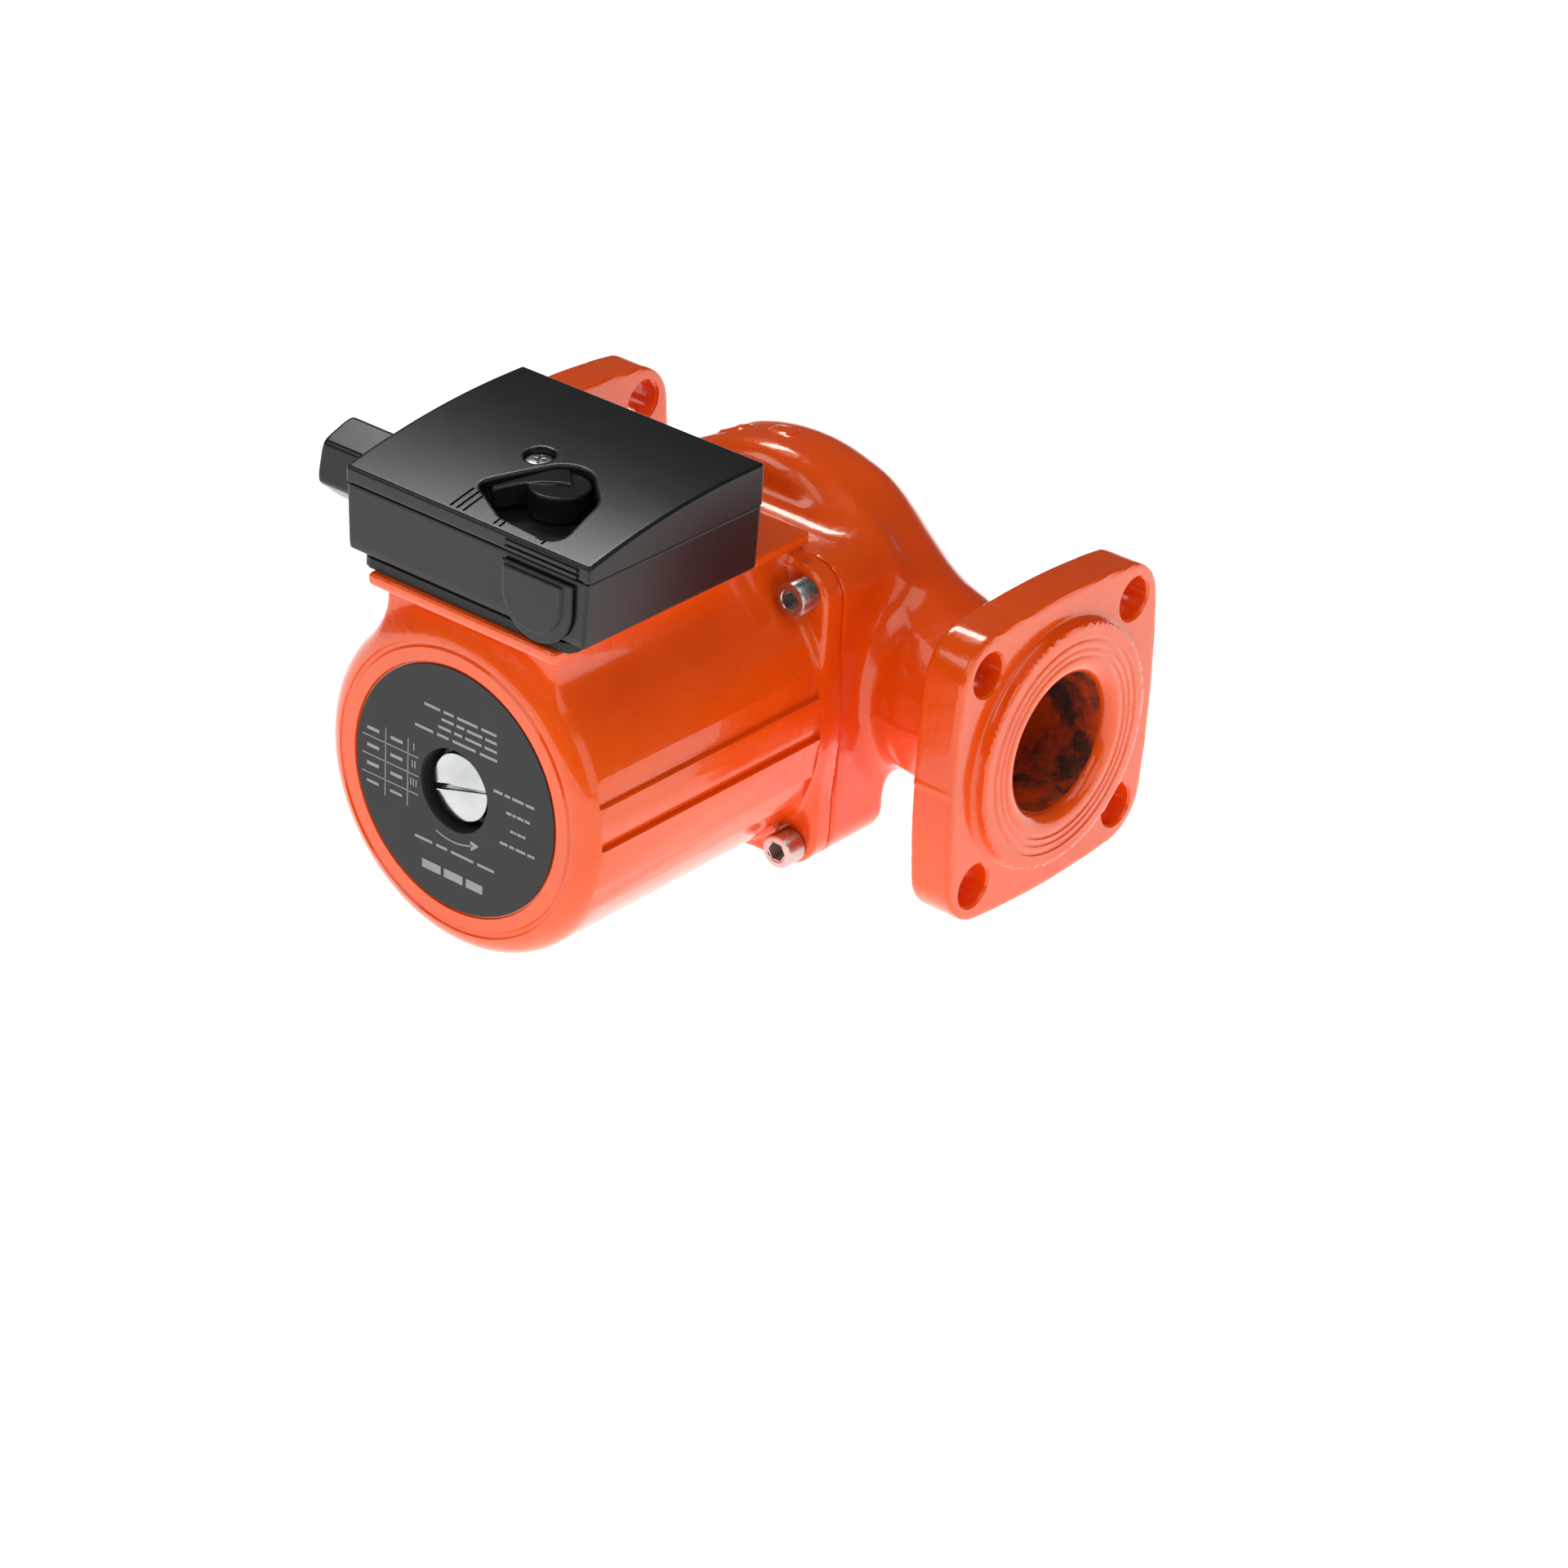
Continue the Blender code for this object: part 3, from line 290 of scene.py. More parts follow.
def lathe(name, profile, axis="Y", origin=(0, 0, 0), steps=96):
    """A solid of revolution from a closed loop of (radius, along) points, counterclockwise."""
    faces = []
    points = []
    rings = []
    for radius, along in profile:
        if radius < 1e-6:
            rings.append([len(points)] * steps)
            points.append((0, 0, along))
            continue
        rings.append(list(range(len(points), len(points) + steps)))
        for step in range(steps):
            angle = 2 * math.pi * step / steps
            points.append((radius * math.cos(angle), radius * math.sin(angle), along))
    for ring, following in zip(rings, rings[1:] + rings[:1]):
        for step in range(steps):
            after = (step + 1) % steps
            corners = [ring[step], ring[after], following[after], following[step]]
            face = list(dict.fromkeys(corners))
            if len(face) > 2:
                faces.append(face)
    placed = np.array(points, float) @ turn_to(axis).T + np.array(origin, float)
    item = new_object(name, placed, faces)
    outward(item)
    return item


def outward(item):
    work = bmesh.new()
    work.from_mesh(item.data)
    bmesh.ops.recalc_face_normals(work, faces=work.faces)
    work.to_mesh(item.data)
    work.free()


def prism(name, outline, low, high, axis="Z", origin=(0, 0, 0)):
    """An outline of (x, y) points swept from low to high along an axis."""
    count = len(outline)
    points = [(x, y, low) for x, y in outline] + [(x, y, high) for x, y in outline]
    faces = [list(range(count))[::-1], list(range(count, 2 * count))]
    for start in range(count):
        after = (start + 1) % count
        faces.append([start, after, count + after, count + start])
    placed = np.array(points, float) @ turn_to(axis).T + np.array(origin, float)
    item = new_object(name, placed, faces)
    outward(item)
    return item


def duct(name, table, sides=64):
    """A solid through ellipses given as (x, centre y, centre z, radius y, radius z)."""
    points = []
    for x, y, z, radius_y, radius_z in table:
        for step in range(sides):
            angle = 2 * math.pi * step / sides
            points.append((x, y + radius_y * math.cos(angle), z + radius_z * math.sin(angle)))
    faces = [list(range(sides)), list(range(len(points) - sides, len(points)))[::-1]]
    for row in range(len(table) - 1):
        for step in range(sides):
            after = (step + 1) % sides
            near = row * sides
            far = near + sides
            faces.append([near + step, near + after, far + after, far + step])
    item = new_object(name, points, faces)
    outward(item)
    return item


def arc(centre_x, centre_y, radius, start, end, steps):
    points = []
    for step in range(steps + 1):
        angle = math.radians(start + (end - start) * step / steps)
        points.append((centre_x + radius * math.cos(angle), centre_y + radius * math.sin(angle)))
    return points


def hull_outline(circles, steps=72):
    """The outline that a string pulled round some circles makes, counterclockwise."""
    cloud = []
    for x, y, radius in circles:
        cloud += [Vector(point) for point in arc(x, y, radius, 0, 360 - 360 / steps, steps - 1)]
    outline = [tuple(cloud[index]) for index in geometry.convex_hull_2d(cloud)]
    area = sum(a[0] * b[1] - b[0] * a[1] for a, b in zip(outline, outline[1:] + outline[:1]))
    return outline if area > 0 else outline[::-1]


def box_solid(name, low, high, turn=None):
    (x0, y0, z0), (x1, y1, z1) = low, high
    points = np.array([(x, y, z) for z in (z0, z1) for y in (y0, y1) for x in (x0, x1)], float)
    if turn is not None:
        middle = points.mean(0)
        points = (points - middle) @ np.array(turn).T + middle
    faces = [[0, 2, 3, 1], [4, 5, 7, 6], [0, 1, 5, 4], [2, 6, 7, 3], [0, 4, 6, 2], [1, 3, 7, 5]]
    item = new_object(name, points, faces)
    outward(item)
    return item


def apply_modifiers(item):
    bpy.context.view_layer.update()
    graph = bpy.context.evaluated_depsgraph_get()
    mesh = bpy.data.meshes.new_from_object(item.evaluated_get(graph))
    item.modifiers.clear()
    item.data = mesh
    mesh.name = item.name


def combine(item, others, operation):
    """Boolean with each of the other closed objects, which are used up."""
    for other in others:
        modifier = item.modifiers.new(operation, "BOOLEAN")
        modifier.operation = operation
        modifier.solver = "MANIFOLD"
        modifier.object = other
    before = len(item.data.polygons)
    apply_modifiers(item)
    if len(item.data.polygons) == before:
        print("boolean left unchanged:", item.name)
    for other in others:
        bpy.data.objects.remove(other, do_unlink=True)


def cut(item, *others):
    combine(item, others, "DIFFERENCE")


def join(item, *others):
    combine(item, others, "UNION")


def soften(item, width, segments=2, angle=40):
    """Bevel the sharp edges, and shade the result smooth with clean normals."""
    modifier = item.modifiers.new("soften", "BEVEL")
    modifier.width = width * MM
    modifier.segments = segments
    modifier.limit_method = "ANGLE"
    modifier.angle_limit = math.radians(angle)
    modifier.harden_normals = False
    apply_modifiers(item)
    crisp(item, 35)


def crisp(item, angle=35):
    item.data.shade_smooth()
    item.data.set_sharp_from_angle(angle=math.radians(angle))


def finish_piece(item, material, body, nodes=()):
    item.data.materials.clear()
    item.data.materials.append(material)
    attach(item, body)
    if nodes:
        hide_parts(*nodes)
    return item


# ---------------------------------------------------------------- materials

class Nodes:
    """A Principled material with short ways to add the usual nodes."""

    def __init__(self, name, colour, roughness, metallic=0.0):
        self.material = bpy.data.materials.new(name)
        self.material.use_nodes = True
        self.tree = self.material.node_tree
        self.shader = self.tree.nodes["Principled BSDF"]
        self.put("Base Color", (*colour, 1))
        self.put("Roughness", roughness)
        self.put("Metallic", metallic)
        self.place = self.tree.nodes.new("ShaderNodeTexCoord").outputs["Object"]

    def put(self, socket, value):
        self.shader.inputs[socket].default_value = value

    def link(self, source, target):
        self.tree.links.new(source, target)

    def noise(self, scale, detail=4.0, roughness=0.55, stretch=None):
        node = self.tree.nodes.new("ShaderNodeTexNoise")
        node.inputs["Scale"].default_value = scale
        node.inputs["Detail"].default_value = detail
        node.inputs["Roughness"].default_value = roughness
        place = self.place
        if stretch:
            mapping = self.tree.nodes.new("ShaderNodeMapping")
            mapping.inputs["Scale"].default_value = stretch
            self.link(place, mapping.inputs["Vector"])
            place = mapping.outputs["Vector"]
        self.link(place, node.inputs["Vector"])
        return node.outputs["Fac"]

    def ramp(self, value, low, high, start, end):
        node = self.tree.nodes.new("ShaderNodeMapRange")
        node.inputs["From Min"].default_value = low
        node.inputs["From Max"].default_value = high
        node.inputs["To Min"].default_value = start
        node.inputs["To Max"].default_value = end
        self.link(value, node.inputs["Value"])
        return node.outputs["Result"]

    def maths(self, operation, first, second):
        node = self.tree.nodes.new("ShaderNodeMath")
        node.operation = operation
        for socket, value in zip(node.inputs, (first, second)):
            if isinstance(value, (int, float)):
                socket.default_value = value
            else:
                self.link(value, socket)
        return node.outputs["Value"]

    def edges(self, low, high):
        """1 on convex edges, 0 elsewhere."""
        node = self.tree.nodes.new("ShaderNodeNewGeometry")
        return self.ramp(node.outputs["Pointiness"], low, high, 0, 1)

    def mix(self, share, first, second):
        node = self.tree.nodes.new("ShaderNodeMix")
        node.data_type = "RGBA"
        self.link(share, node.inputs["Factor"])
        for socket, value in ((node.inputs["A"], first), (node.inputs["B"], second)):
            if isinstance(value, tuple):
                socket.default_value = (*value, 1)
            else:
                self.link(value, socket)
        return node.outputs["Result"]

    def colour(self, value):
        self.link(value, self.shader.inputs["Base Color"])

    def rough(self, value):
        self.link(value, self.shader.inputs["Roughness"])

    def bump(self, *layers):
        """Layers of (height value, distance in metres)."""
        before = None
        for height, distance in layers:
            node = self.tree.nodes.new("ShaderNodeBump")
            node.inputs["Strength"].default_value = 1.0
            node.inputs["Distance"].default_value = distance
            self.link(height, node.inputs["Height"])
            if before is not None:
                self.link(before, node.inputs["Normal"])
            before = node.outputs["Normal"]
        self.link(before, self.shader.inputs["Normal"])


def make_enamel():
    paint = Nodes("orange_enamel", (0.80, 0.075, 0.004), 0.25)
    cloud = paint.ramp(paint.noise(28, 3), 0.3, 0.7, 0, 1)
    tone = paint.mix(cloud, (0.80, 0.074, 0.002), (0.90, 0.092, 0.003))
    rubbed = paint.maths("MULTIPLY", paint.edges(0.56, 0.72),
                         paint.ramp(paint.noise(140, 4), 0.40, 0.62, 0, 1))
    paint.colour(paint.mix(rubbed, tone, (0.95, 0.16, 0.02)))
    paint.rough(paint.ramp(paint.noise(90, 5), 0.3, 0.75, 0.16, 0.30))
    paint.put("Specular IOR Level", 0.45)
    paint.put("Specular Tint", (1.0, 0.86, 0.62, 1))
    paint.put("Coat Weight", 0.6)
    paint.put("Coat Roughness", 0.05)
    paint.bump((paint.noise(160, 3), 0.00022), (paint.noise(620, 4, 0.6), 0.00008))
    return paint.material


def make_bore():
    """Rough dark casting inside the ports: the dark is painted shade, broken by patches of orange overspray.
    """
    bore = Nodes("bore_shade_and_overspray", (0.10, 0.02, 0.008), 0.7)
    spray = bore.noise(55, 6, 0.65)
    mottle = bore.noise(240, 4, 0.6)
    # The dark base is painted shade, mottled by noise; the spray mask lays orange overspray over it.
    dark = bore.mix(bore.ramp(mottle, 0.35, 0.65, 0, 1), (0.020, 0.010, 0.006), (0.10, 0.022, 0.006))
    bore.colour(bore.mix(bore.ramp(spray, 0.40, 0.54, 0, 1), dark, (0.62, 0.060, 0.004)))
    bore.rough(bore.ramp(spray, 0.4, 0.6, 0.75, 0.45))
    bore.bump((bore.noise(200, 5, 0.6), 0.0005))
    return bore.material


def make_plastic(name, colour, roughness, grain=0.000003, scale=1800, shine=0.5):
    plastic = Nodes(name, colour, roughness)
    plastic.put("Specular IOR Level", shine)
    patch = plastic.noise(35, 4)
    lighter = tuple(min(1.0, value * 1.12 + 0.0005) for value in colour)
    tone = plastic.mix(plastic.ramp(patch, 0.3, 0.7, 0, 1), colour, lighter)
    worn = tuple(min(1.0, value * 1.6 + 0.004) for value in colour)
    scuff = plastic.ramp(plastic.noise(420, 6, 0.7, (1, 6, 2)), 0.74, 0.88, 0, 0.15)
    plastic.colour(plastic.mix(scuff, tone, worn))
    plastic.rough(plastic.ramp(plastic.noise(120, 4), 0.3, 0.7, roughness - 0.01, roughness + 0.015))
    plastic.bump((plastic.noise(scale, 3, 0.6), grain), (plastic.noise(45, 1), 0.000006))
    return plastic.material


def make_metal(name, colour, roughness, stretch=(1, 1, 1), scale=500, grain=0.00002, spread=0.10):
    metal = Nodes(name, colour, roughness, 1.0)
    brushed = metal.noise(scale, 5, 0.6, stretch)
    stain = metal.noise(60, 4)
    darker = tuple(value * 0.72 for value in colour)
    metal.colour(metal.mix(metal.ramp(stain, 0.35, 0.75, 0, 1), colour, darker))
    metal.rough(metal.ramp(brushed, 0.3, 0.7, max(0.03, roughness - spread / 2), roughness + spread))
    metal.bump((brushed, grain))
    return metal.material


ENAMEL = make_enamel()
BORE = make_bore()
# Near-black painted shade for the hollows of the motor: its bore and the vent opening.
SHADOW = make_plastic("bore_painted_shade", (0.006, 0.006, 0.006), 0.8)
BLACK = make_plastic("black_plastic", (0.009, 0.0094, 0.0097), 0.28, shine=0.34)
KNOB_BLACK = make_plastic("knob_plastic", (0.008, 0.0083, 0.0085), 0.27, shine=0.28)
RUBBER = make_plastic("black_rubber", (0.014, 0.014, 0.014), 0.72, 0.00008, 900)
LABEL = make_plastic("grey_label", (0.030, 0.031, 0.031), 0.55, 0.00001, 2000, 0.22)
PRINT = make_plastic("label_print", (0.30, 0.30, 0.29), 0.5, 0.00002, 1200, 0.2)
GREY = make_plastic("grey_plastic", (0.42, 0.43, 0.44), 0.5)
IMPELLER = make_plastic("impeller_plastic", (0.06, 0.06, 0.065), 0.45)
CERAMIC = make_plastic("bearing_ceramic", (0.70, 0.68, 0.62), 0.25, 0.00001)
CHROME = make_metal("plated_brass", (0.50, 0.52, 0.52), 0.14, (1, 1, 6), 300, 0.000006, 0.05)
STEEL = make_metal("screw_steel", (0.56, 0.56, 0.55), 0.28, (1, 1, 1), 700)
STAINLESS = make_metal("stainless_steel", (0.62, 0.61, 0.59), 0.24, (1, 14, 1), 300)
LAMINATION = make_metal("lamination_steel", (0.33, 0.33, 0.34), 0.42, (1, 60, 1), 60, 0.00008)
COPPER = make_metal("enamelled_copper", (0.62, 0.22, 0.07), 0.32, (1, 9, 1), 260, 0.0002)


# ---------------------------------------------------------------- pump housing

FACE = 100.0
FLANGE_FRONT = 96.3
FLANGE_BACK = 82.8
BOLT_PITCH = 32.2
SCREW_PITCH = 38.8
DOME_Z = 7.9

# The two necks as (x away from the centre, centre y, centre z, radius y, radius z)
OUTLET = [(-12, 0, 8, 8, 28), (6, 2, 11, 15.5, 35), (24, 3, 11.75, 20, 36.75), (37, 2, 7.05, 22, 32.05),
          (48, 1, 5.35, 23, 29.85), (60, 0, 3.4, 24, 27.9), (72, 0, 0.75, 24.5, 25.25),
          (86, 0, 0, 24.5, 24.5)]
INLET = [(30, 3, 3, 18, 32), (44, 2, 1.5, 22.5, 29), (56, 0.5, 0.5, 24, 26.2), (70, 0, 0, 24.5, 24.5),
         (86, 0, 0, 24.5, 24.5)]

# The two cast pads on the dome as (x, y, height), and how far they stand proud
PADS = ((-19, -3, 56.5), (-3.5, 0, 60.0))
PAD_RISE = 0.55


def pump_field(x, y, z):
    radius = length(x, z - DOME_Z) - 51.9
    dome = np.maximum(both(radius, y - 20.0, 17.3), both(radius, -14.0 - y, 8.0))
    block = both(square(x, z, 46.0, 10.5), span(y, -34.0, -8.0), 2.4)
    body = blend(dome, block, 3.0 + 7.0 * np.clip((z - 20) / 25, 0, 1))
    outlet = np.maximum(tube(x, y, z, OUTLET), span(x, -12, 86))
    inlet = np.maximum(tube(-x, y, z, INLET), span(x, -86, -30))
    under = np.abs(y) * math.cos(math.radians(30)) - z * math.sin(math.radians(30)) - 21.6
    under = under - 4.0 * above(1 - (np.abs(x) - 44) / 12)
    outlet = both(outlet, under, 0.4)
    inlet = both(inlet, under, 0.4)
    body = blend(body, outlet, 9.0)
    body = blend(body, inlet, 8.0)
    for pad_x, pad_y, pad_z in PADS:
        pad = both(both(np.abs(x - pad_x) - 4.0, np.abs(y - pad_y) - 2.2, 0.8), body - PAD_RISE, 0.3)
        body = blend(body, np.maximum(pad, pad_z - 8 - z), 0.8)
    body = both(body, -32.0 - y, 0.8)
    aside = np.abs(x)
    outline = bulged_square(y, z, 44.9, 43.0, 10.5)
    seam = np.exp(-above(z / 0.7) ** 2 - above(-z / 1.6) ** 2) * np.clip((aside - 44) / 12, 0, 1)
    flange = both(outline - 0.25 * np.exp(-(z / 0.8) ** 2), span(aside, FLANGE_BACK, FLANGE_FRONT), 1.1)
    body = blend(body - 0.40 * seam, flange, 5.0)
    raised = both(length(y, z) - 35.8, span(aside, 92.0, FACE), 0.5)
    return blend(body, raised, 1.6)


def build_pump_housing():
    housing = surface_net("pump_casting", pump_field, (-100.2, -45.4, -45.4), (100.2, 45.4, 61.0), STEP)
    housing.data.materials.append(ENAMEL)
    housing.data.materials.append(BORE)
    inner = [
        lathe("seat", [(0, -34), (44, -34), (44, -27.5), (0, -27.5)], "Y"),
        lathe("bore", [(0, -30), (40.5, -30), (40.5, -10), (0, -10)], "Y"),
        lathe("chamber", [(0, -11.2), (42, -11.2), (42, 1), (0, 1)], "Y", (0, 0, 2)),
        lathe("eye", [(0, -1), (18.3, -1), (18.3, 7), (0, 7)], "Y"),
        lathe("suction", [(0, 5), (23, 5), (24, 6), (24, 14.8), (23, 15.8), (0, 15.8)], "Y"),
        duct("inlet_duct", [(-102, 0, 0, 20.5, 20.5), (-74, 0, 0, 20.5, 20.5), (-67, 1.0, 0, 19.2, 20.8),
                            (-61, 2.5, 0, 16.5, 21), (-51, 6.6, 0, 10.2, 22), (-43, 9.8, 0, 5.7, 22.5),
                            (-6, 10.4, 0, 5.0, 21.5)]),
        duct("outlet_duct", [(102, 0, 0, 20.5, 20.5), (74, 0, 0.2, 20.5, 20.5), (67, -0.2, 1.3, 19.4, 20.4),
                             (60, -0.5, 3, 18, 20), (46, -2, 9, 13, 19), (34, -4, 17, 8.5, 16.5),
                             (20, -5, 26, 5.8, 13.5), (4, -5, 33, 5, 10.5)])]
    # The inner cavities are lined with the bore material, whose dark base is painted shade.
    for item in inner:
        item.data.materials.append(BORE)
        item.data.materials.append(BORE)
        for face in item.data.polygons:
            face.material_index = 1
    cut(housing, *inner)
    for axis in ("X", "-X"):
        lip = [(0, FACE - 3.6), (20.5, FACE - 3.6), (20.7, FACE - 2.4), (21.4, FACE - 1.3),
               (22.5, FACE - 0.5), (23.9, FACE + 0.01), (23.9, FACE + 2), (0, FACE + 2)]
        tools = [lathe("port_lip", lip, axis)]
        for radius, depth in ((26.4, 0.34), (28.6, 0.30), (31.2, 0.36)):
            groove = [(radius - 1.0, FACE + 0.02), (radius - 0.6, FACE - depth * 0.55),
                      (radius - 0.2, FACE - depth), (radius + 0.2, FACE - depth),
                      (radius + 0.5, FACE - depth * 0.6), (radius + 0.7, FACE + 0.02),
                      (radius + 0.7, FACE + 0.5), (radius - 1.0, FACE + 0.5)]
            tools.append(lathe("face_groove", groove, axis, steps=128))
        for across in (-1, 1):
            for up in (-1, 1):
                hole = [(0, 70), (6.9, 70), (6.9, FLANGE_BACK + 0.3), (6.2, FLANGE_BACK + 1.0),
                        (6.2, FLANGE_FRONT - 0.7), (6.9, FLANGE_FRONT), (6.9, 99), (0, 99)]
                tools.append(lathe("bolt_hole", hole, axis, (0, across * BOLT_PITCH, up * BOLT_PITCH), 48))
        cut(housing, *tools)
    holes = [lathe("screw_hole", [(0, -33), (3.2, -33), (3.2, -13), (0, -13)], "Y",
                   (across * SCREW_PITCH, 0, up * SCREW_PITCH), 24) for across in (-1, 1) for up in (-1, 1)]
    cut(housing, *holes)
    crisp(housing, 32)
    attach(housing, "pump")
    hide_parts("pump_housing")


# ---------------------------------------------------------------- motor housing

BARREL = 48.45
END = -135.8
RECESS_DEPTH = 0.7
BANDS = ((45.0, 18.4), (45.8, 10.5), (47.5, 10.5), (47.5, 2.0), (46.8, -1.7), (48.4, -1.7), (46.4, -13.8),
         (45.4, -13.8), (43.0, -22.6))
BASE_SCREWS = ((-12, -124), (27, -94.5))
CABLE_WAY = (-22, -82, 0)


def motor_field(x, y, z):
    radius = length(x, z) - BARREL
    barrel = np.maximum(both(radius, END + 0.08 - y, 7.7), y + 34.0)
    plate = both(square(x, z, 46.0, 10.5), span(y, -39.5, -30.0), 1.6)
    body = blend(barrel, plate, 4.0)
    walls = all_of([np.abs(x) - 30.0, span(y, -131.0, -30.0), span(z, 20.0, 52.0)], 1.2)
    body = blend(body, walls, 6.0)
    lip = all_of([np.abs(x) - 33.2, span(y, -135.0, -30.0), span(z, 49.0, 52.6)], 1.0)
    body = blend(body, lip, 1.5)
    return both(body, y + 32.3, 0.8)


def build_motor_housing():
    motor = surface_net("motor_casting", motor_field, (-49, -136.5, -49), (49, -31.5, 53), STEP)
    motor.data.materials.append(ENAMEL)
    motor.data.materials.append(SHADOW)
    tools = [
        lathe("motor_bore", [(0, -128), (41.5, -128), (41.5, -30), (0, -30)], "Y"),
        lathe("vent_opening", [(0, -140), (12.6, -140), (12.6, END + 0.4), (12, END + 1.0), (12, -127),
                               (0, -127)], "Y"),
        lathe("label_recess", [(0, -140), (36.5, -140), (36.5, END), (36.2, END + RECESS_DEPTH),
                               (0, END + RECESS_DEPTH)], "Y", steps=128),
        lathe("ring_groove", [(40.2, END - 1), (40.2, END), (40.8, END + 0.7), (41.9, END + 0.7),
                              (42.6, END - 0.2), (42.6, END - 1)], "Y", steps=128),
        lathe("cable_way", [(0, 30), (5, 30), (5, 60), (0, 60)], "Z", CABLE_WAY, 32)]
    screw_profile = [(0, -45), (5.9, -45), (5.9, -39.6), (3.3, -39.6), (3.3, -30), (0, -30)]
    for across in (-1, 1):
        for up in (-1, 1):
            place = (across * SCREW_PITCH, 0, up * SCREW_PITCH)
            tools.append(lathe("screw_hole", screw_profile, "Y", place, 32))
    for side in (-1, 1):
        outline = [(x * side, z) for x, z in (*BANDS, (56, -22.6), (56, 18.4))]
        tools.append(prism("band_tool", outline, 42.0, 130.6, "-Y"))
    for hole_x, hole_y in BASE_SCREWS:
        tools.append(lathe("base_screw_hole", [(0, 44.5), (2.1, 44.5), (2.1, 56.5), (0, 56.5)], "Z",
                           (hole_x, hole_y, 0), 20))
    # Cut faces of the bore and the vent opening get the painted shade; the other cuts keep the enamel.
    for item in tools:
        item.data.materials.append(SHADOW)
        item.data.materials.append(SHADOW if item in tools[:2] else ENAMEL)
        for face in item.data.polygons:
            face.material_index = 1
    cut(motor, *tools)
    crisp(motor, 32)
    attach(motor, "pump")
    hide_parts("motor_housing")


# ---------------------------------------------------------------- terminal box

BOX_HALF = 43.0
BOX_FRONT = -133.5
BOX_BACK = -65.2
SPLIT = 75.0
BOX_TOP = 87.2
CURVE_START = -72.0
CURVE_RADIUS = 260.0
KNOB = (10.0, -108.5)
SCREW = (-3.7, -101.3)
WELL_FLOOR = 76.0


def cover_shape(x, y, z, inset, rounding):
    drop = CURVE_RADIUS - np.sqrt(CURVE_RADIUS ** 2 - np.minimum(y - CURVE_START, 0) ** 2)
    top = z - (BOX_TOP - inset) + drop
    return all_of([np.abs(x) - BOX_HALF + inset, span(y, BOX_FRONT + inset, BOX_BACK - inset), top], rounding)


def well_circles(grow):
    x, y = KNOB
    return ((x, y, 8.8 + grow), (x + 6.2, y - 6.0, 9.2 + grow), (x - 13.8, y - 11.0, 3.0 + grow),
            (x, y - 11.5, 8.7 + grow), (x + 13.5, y - 17.0, 4.3 + grow))


def cover_field(x, y, z):
    shell = np.maximum(cover_shape(x, y, z, 0.0, 0.9), SPLIT + GAP - z)
    inside = cover_shape(x, y, z, 2.2, 1.0)
    well = convex(x, y, hull_outline(well_circles(0)))
    boss = np.maximum(well - 1.5, WELL_FLOOR - 1.5 - z)
    post = np.maximum(disc(x, y, 5.7, *SCREW), 77.5 - z)
    inside = np.maximum(inside, -np.minimum(boss, post))
    body = np.maximum(shell, -inside)
    body = carve(body, np.maximum(well, WELL_FLOOR - z), 0.9)
    return carve(body, np.maximum(disc(x, y, 4.2, *SCREW), 81.7 - z), 0.5)


def build_cover():
    cover = surface_net("terminal_cover", cover_field, (-43, -133.5, 75.3), (43, -65.2, 87.2), FINE)
    tools = [lathe("stem_hole", [(0, 73), (4.3, 73), (4.3, 78), (0, 78)], "Z", (*KNOB, 0), 32),
             lathe("cover_screw_hole", [(0, 70), (2.3, 70), (2.3, 84), (0, 84)], "Z", (*SCREW, 0), 24)]
    for mark_x, start, end in ((-6.8, -132.0, -123.0), (-4.55, -132.0, -123.0), (-2.3, -132.0, -123.0),
                               (8.4, -132.0, -128.8), (10.5, -132.0, -128.8), (25.0, -132.0, -130.0)):
        tools.append(mark_tool(mark_x, start, end))
    cut(cover, *tools)
    ridges = []
    for low in (75.9, 77.6):
        ridges.append(box_solid("front_ridge", (14.0, BOX_FRONT - 0.7, low),
                                (39.0, BOX_FRONT + 1.0, low + 0.9)))
    join(cover, *ridges)
    crisp(cover, 32)
    finish_piece(cover, BLACK, "box_cover", ["terminal_box_cover"])


def mark_tool(middle, start, end):
    """A groove tool that follows the lid's curve."""
    points = []
    faces = []
    steps = 12
    for step in range(steps + 1):
        y = start + (end - start) * step / steps
        drop = CURVE_RADIUS - math.sqrt(CURVE_RADIUS ** 2 - (y - CURVE_START) ** 2)
        surface = BOX_TOP - drop
        points += [(middle - 0.55, y, surface + 0.6), (middle - 0.35, y, surface - 0.45),
                   (middle + 0.35, y, surface - 0.45), (middle + 0.55, y, surface + 0.6)]
    for step in range(steps):
        for side in range(4):
            near = 4 * step + side
            far = 4 * step + (side + 1) % 4
            faces.append([near, far, far + 4, near + 4])
    faces.append([0, 3, 2, 1])
    last = 4 * steps
    faces.append([last, last + 1, last + 2, last + 3])
    item = new_object("speed_mark", points, faces)
    outward(item)
    return item


def base_field(x, y, z):
    half = 41.7 + (z - 56.0) * 0.9 / 19.0
    front = BOX_FRONT + above(58.5 - z) * 0.12
    shell = all_of([np.abs(x) - half, np.maximum(front - y, y - BOX_BACK), 56.0 - z], 0.9)
    shell = np.maximum(shell, z - SPLIT)
    inside = all_of([np.abs(x) - 39.5, span(y, BOX_FRONT + 2.2, BOX_BACK - 2.2), 58.5 - z], 1.0)
    return np.maximum(shell, -inside)


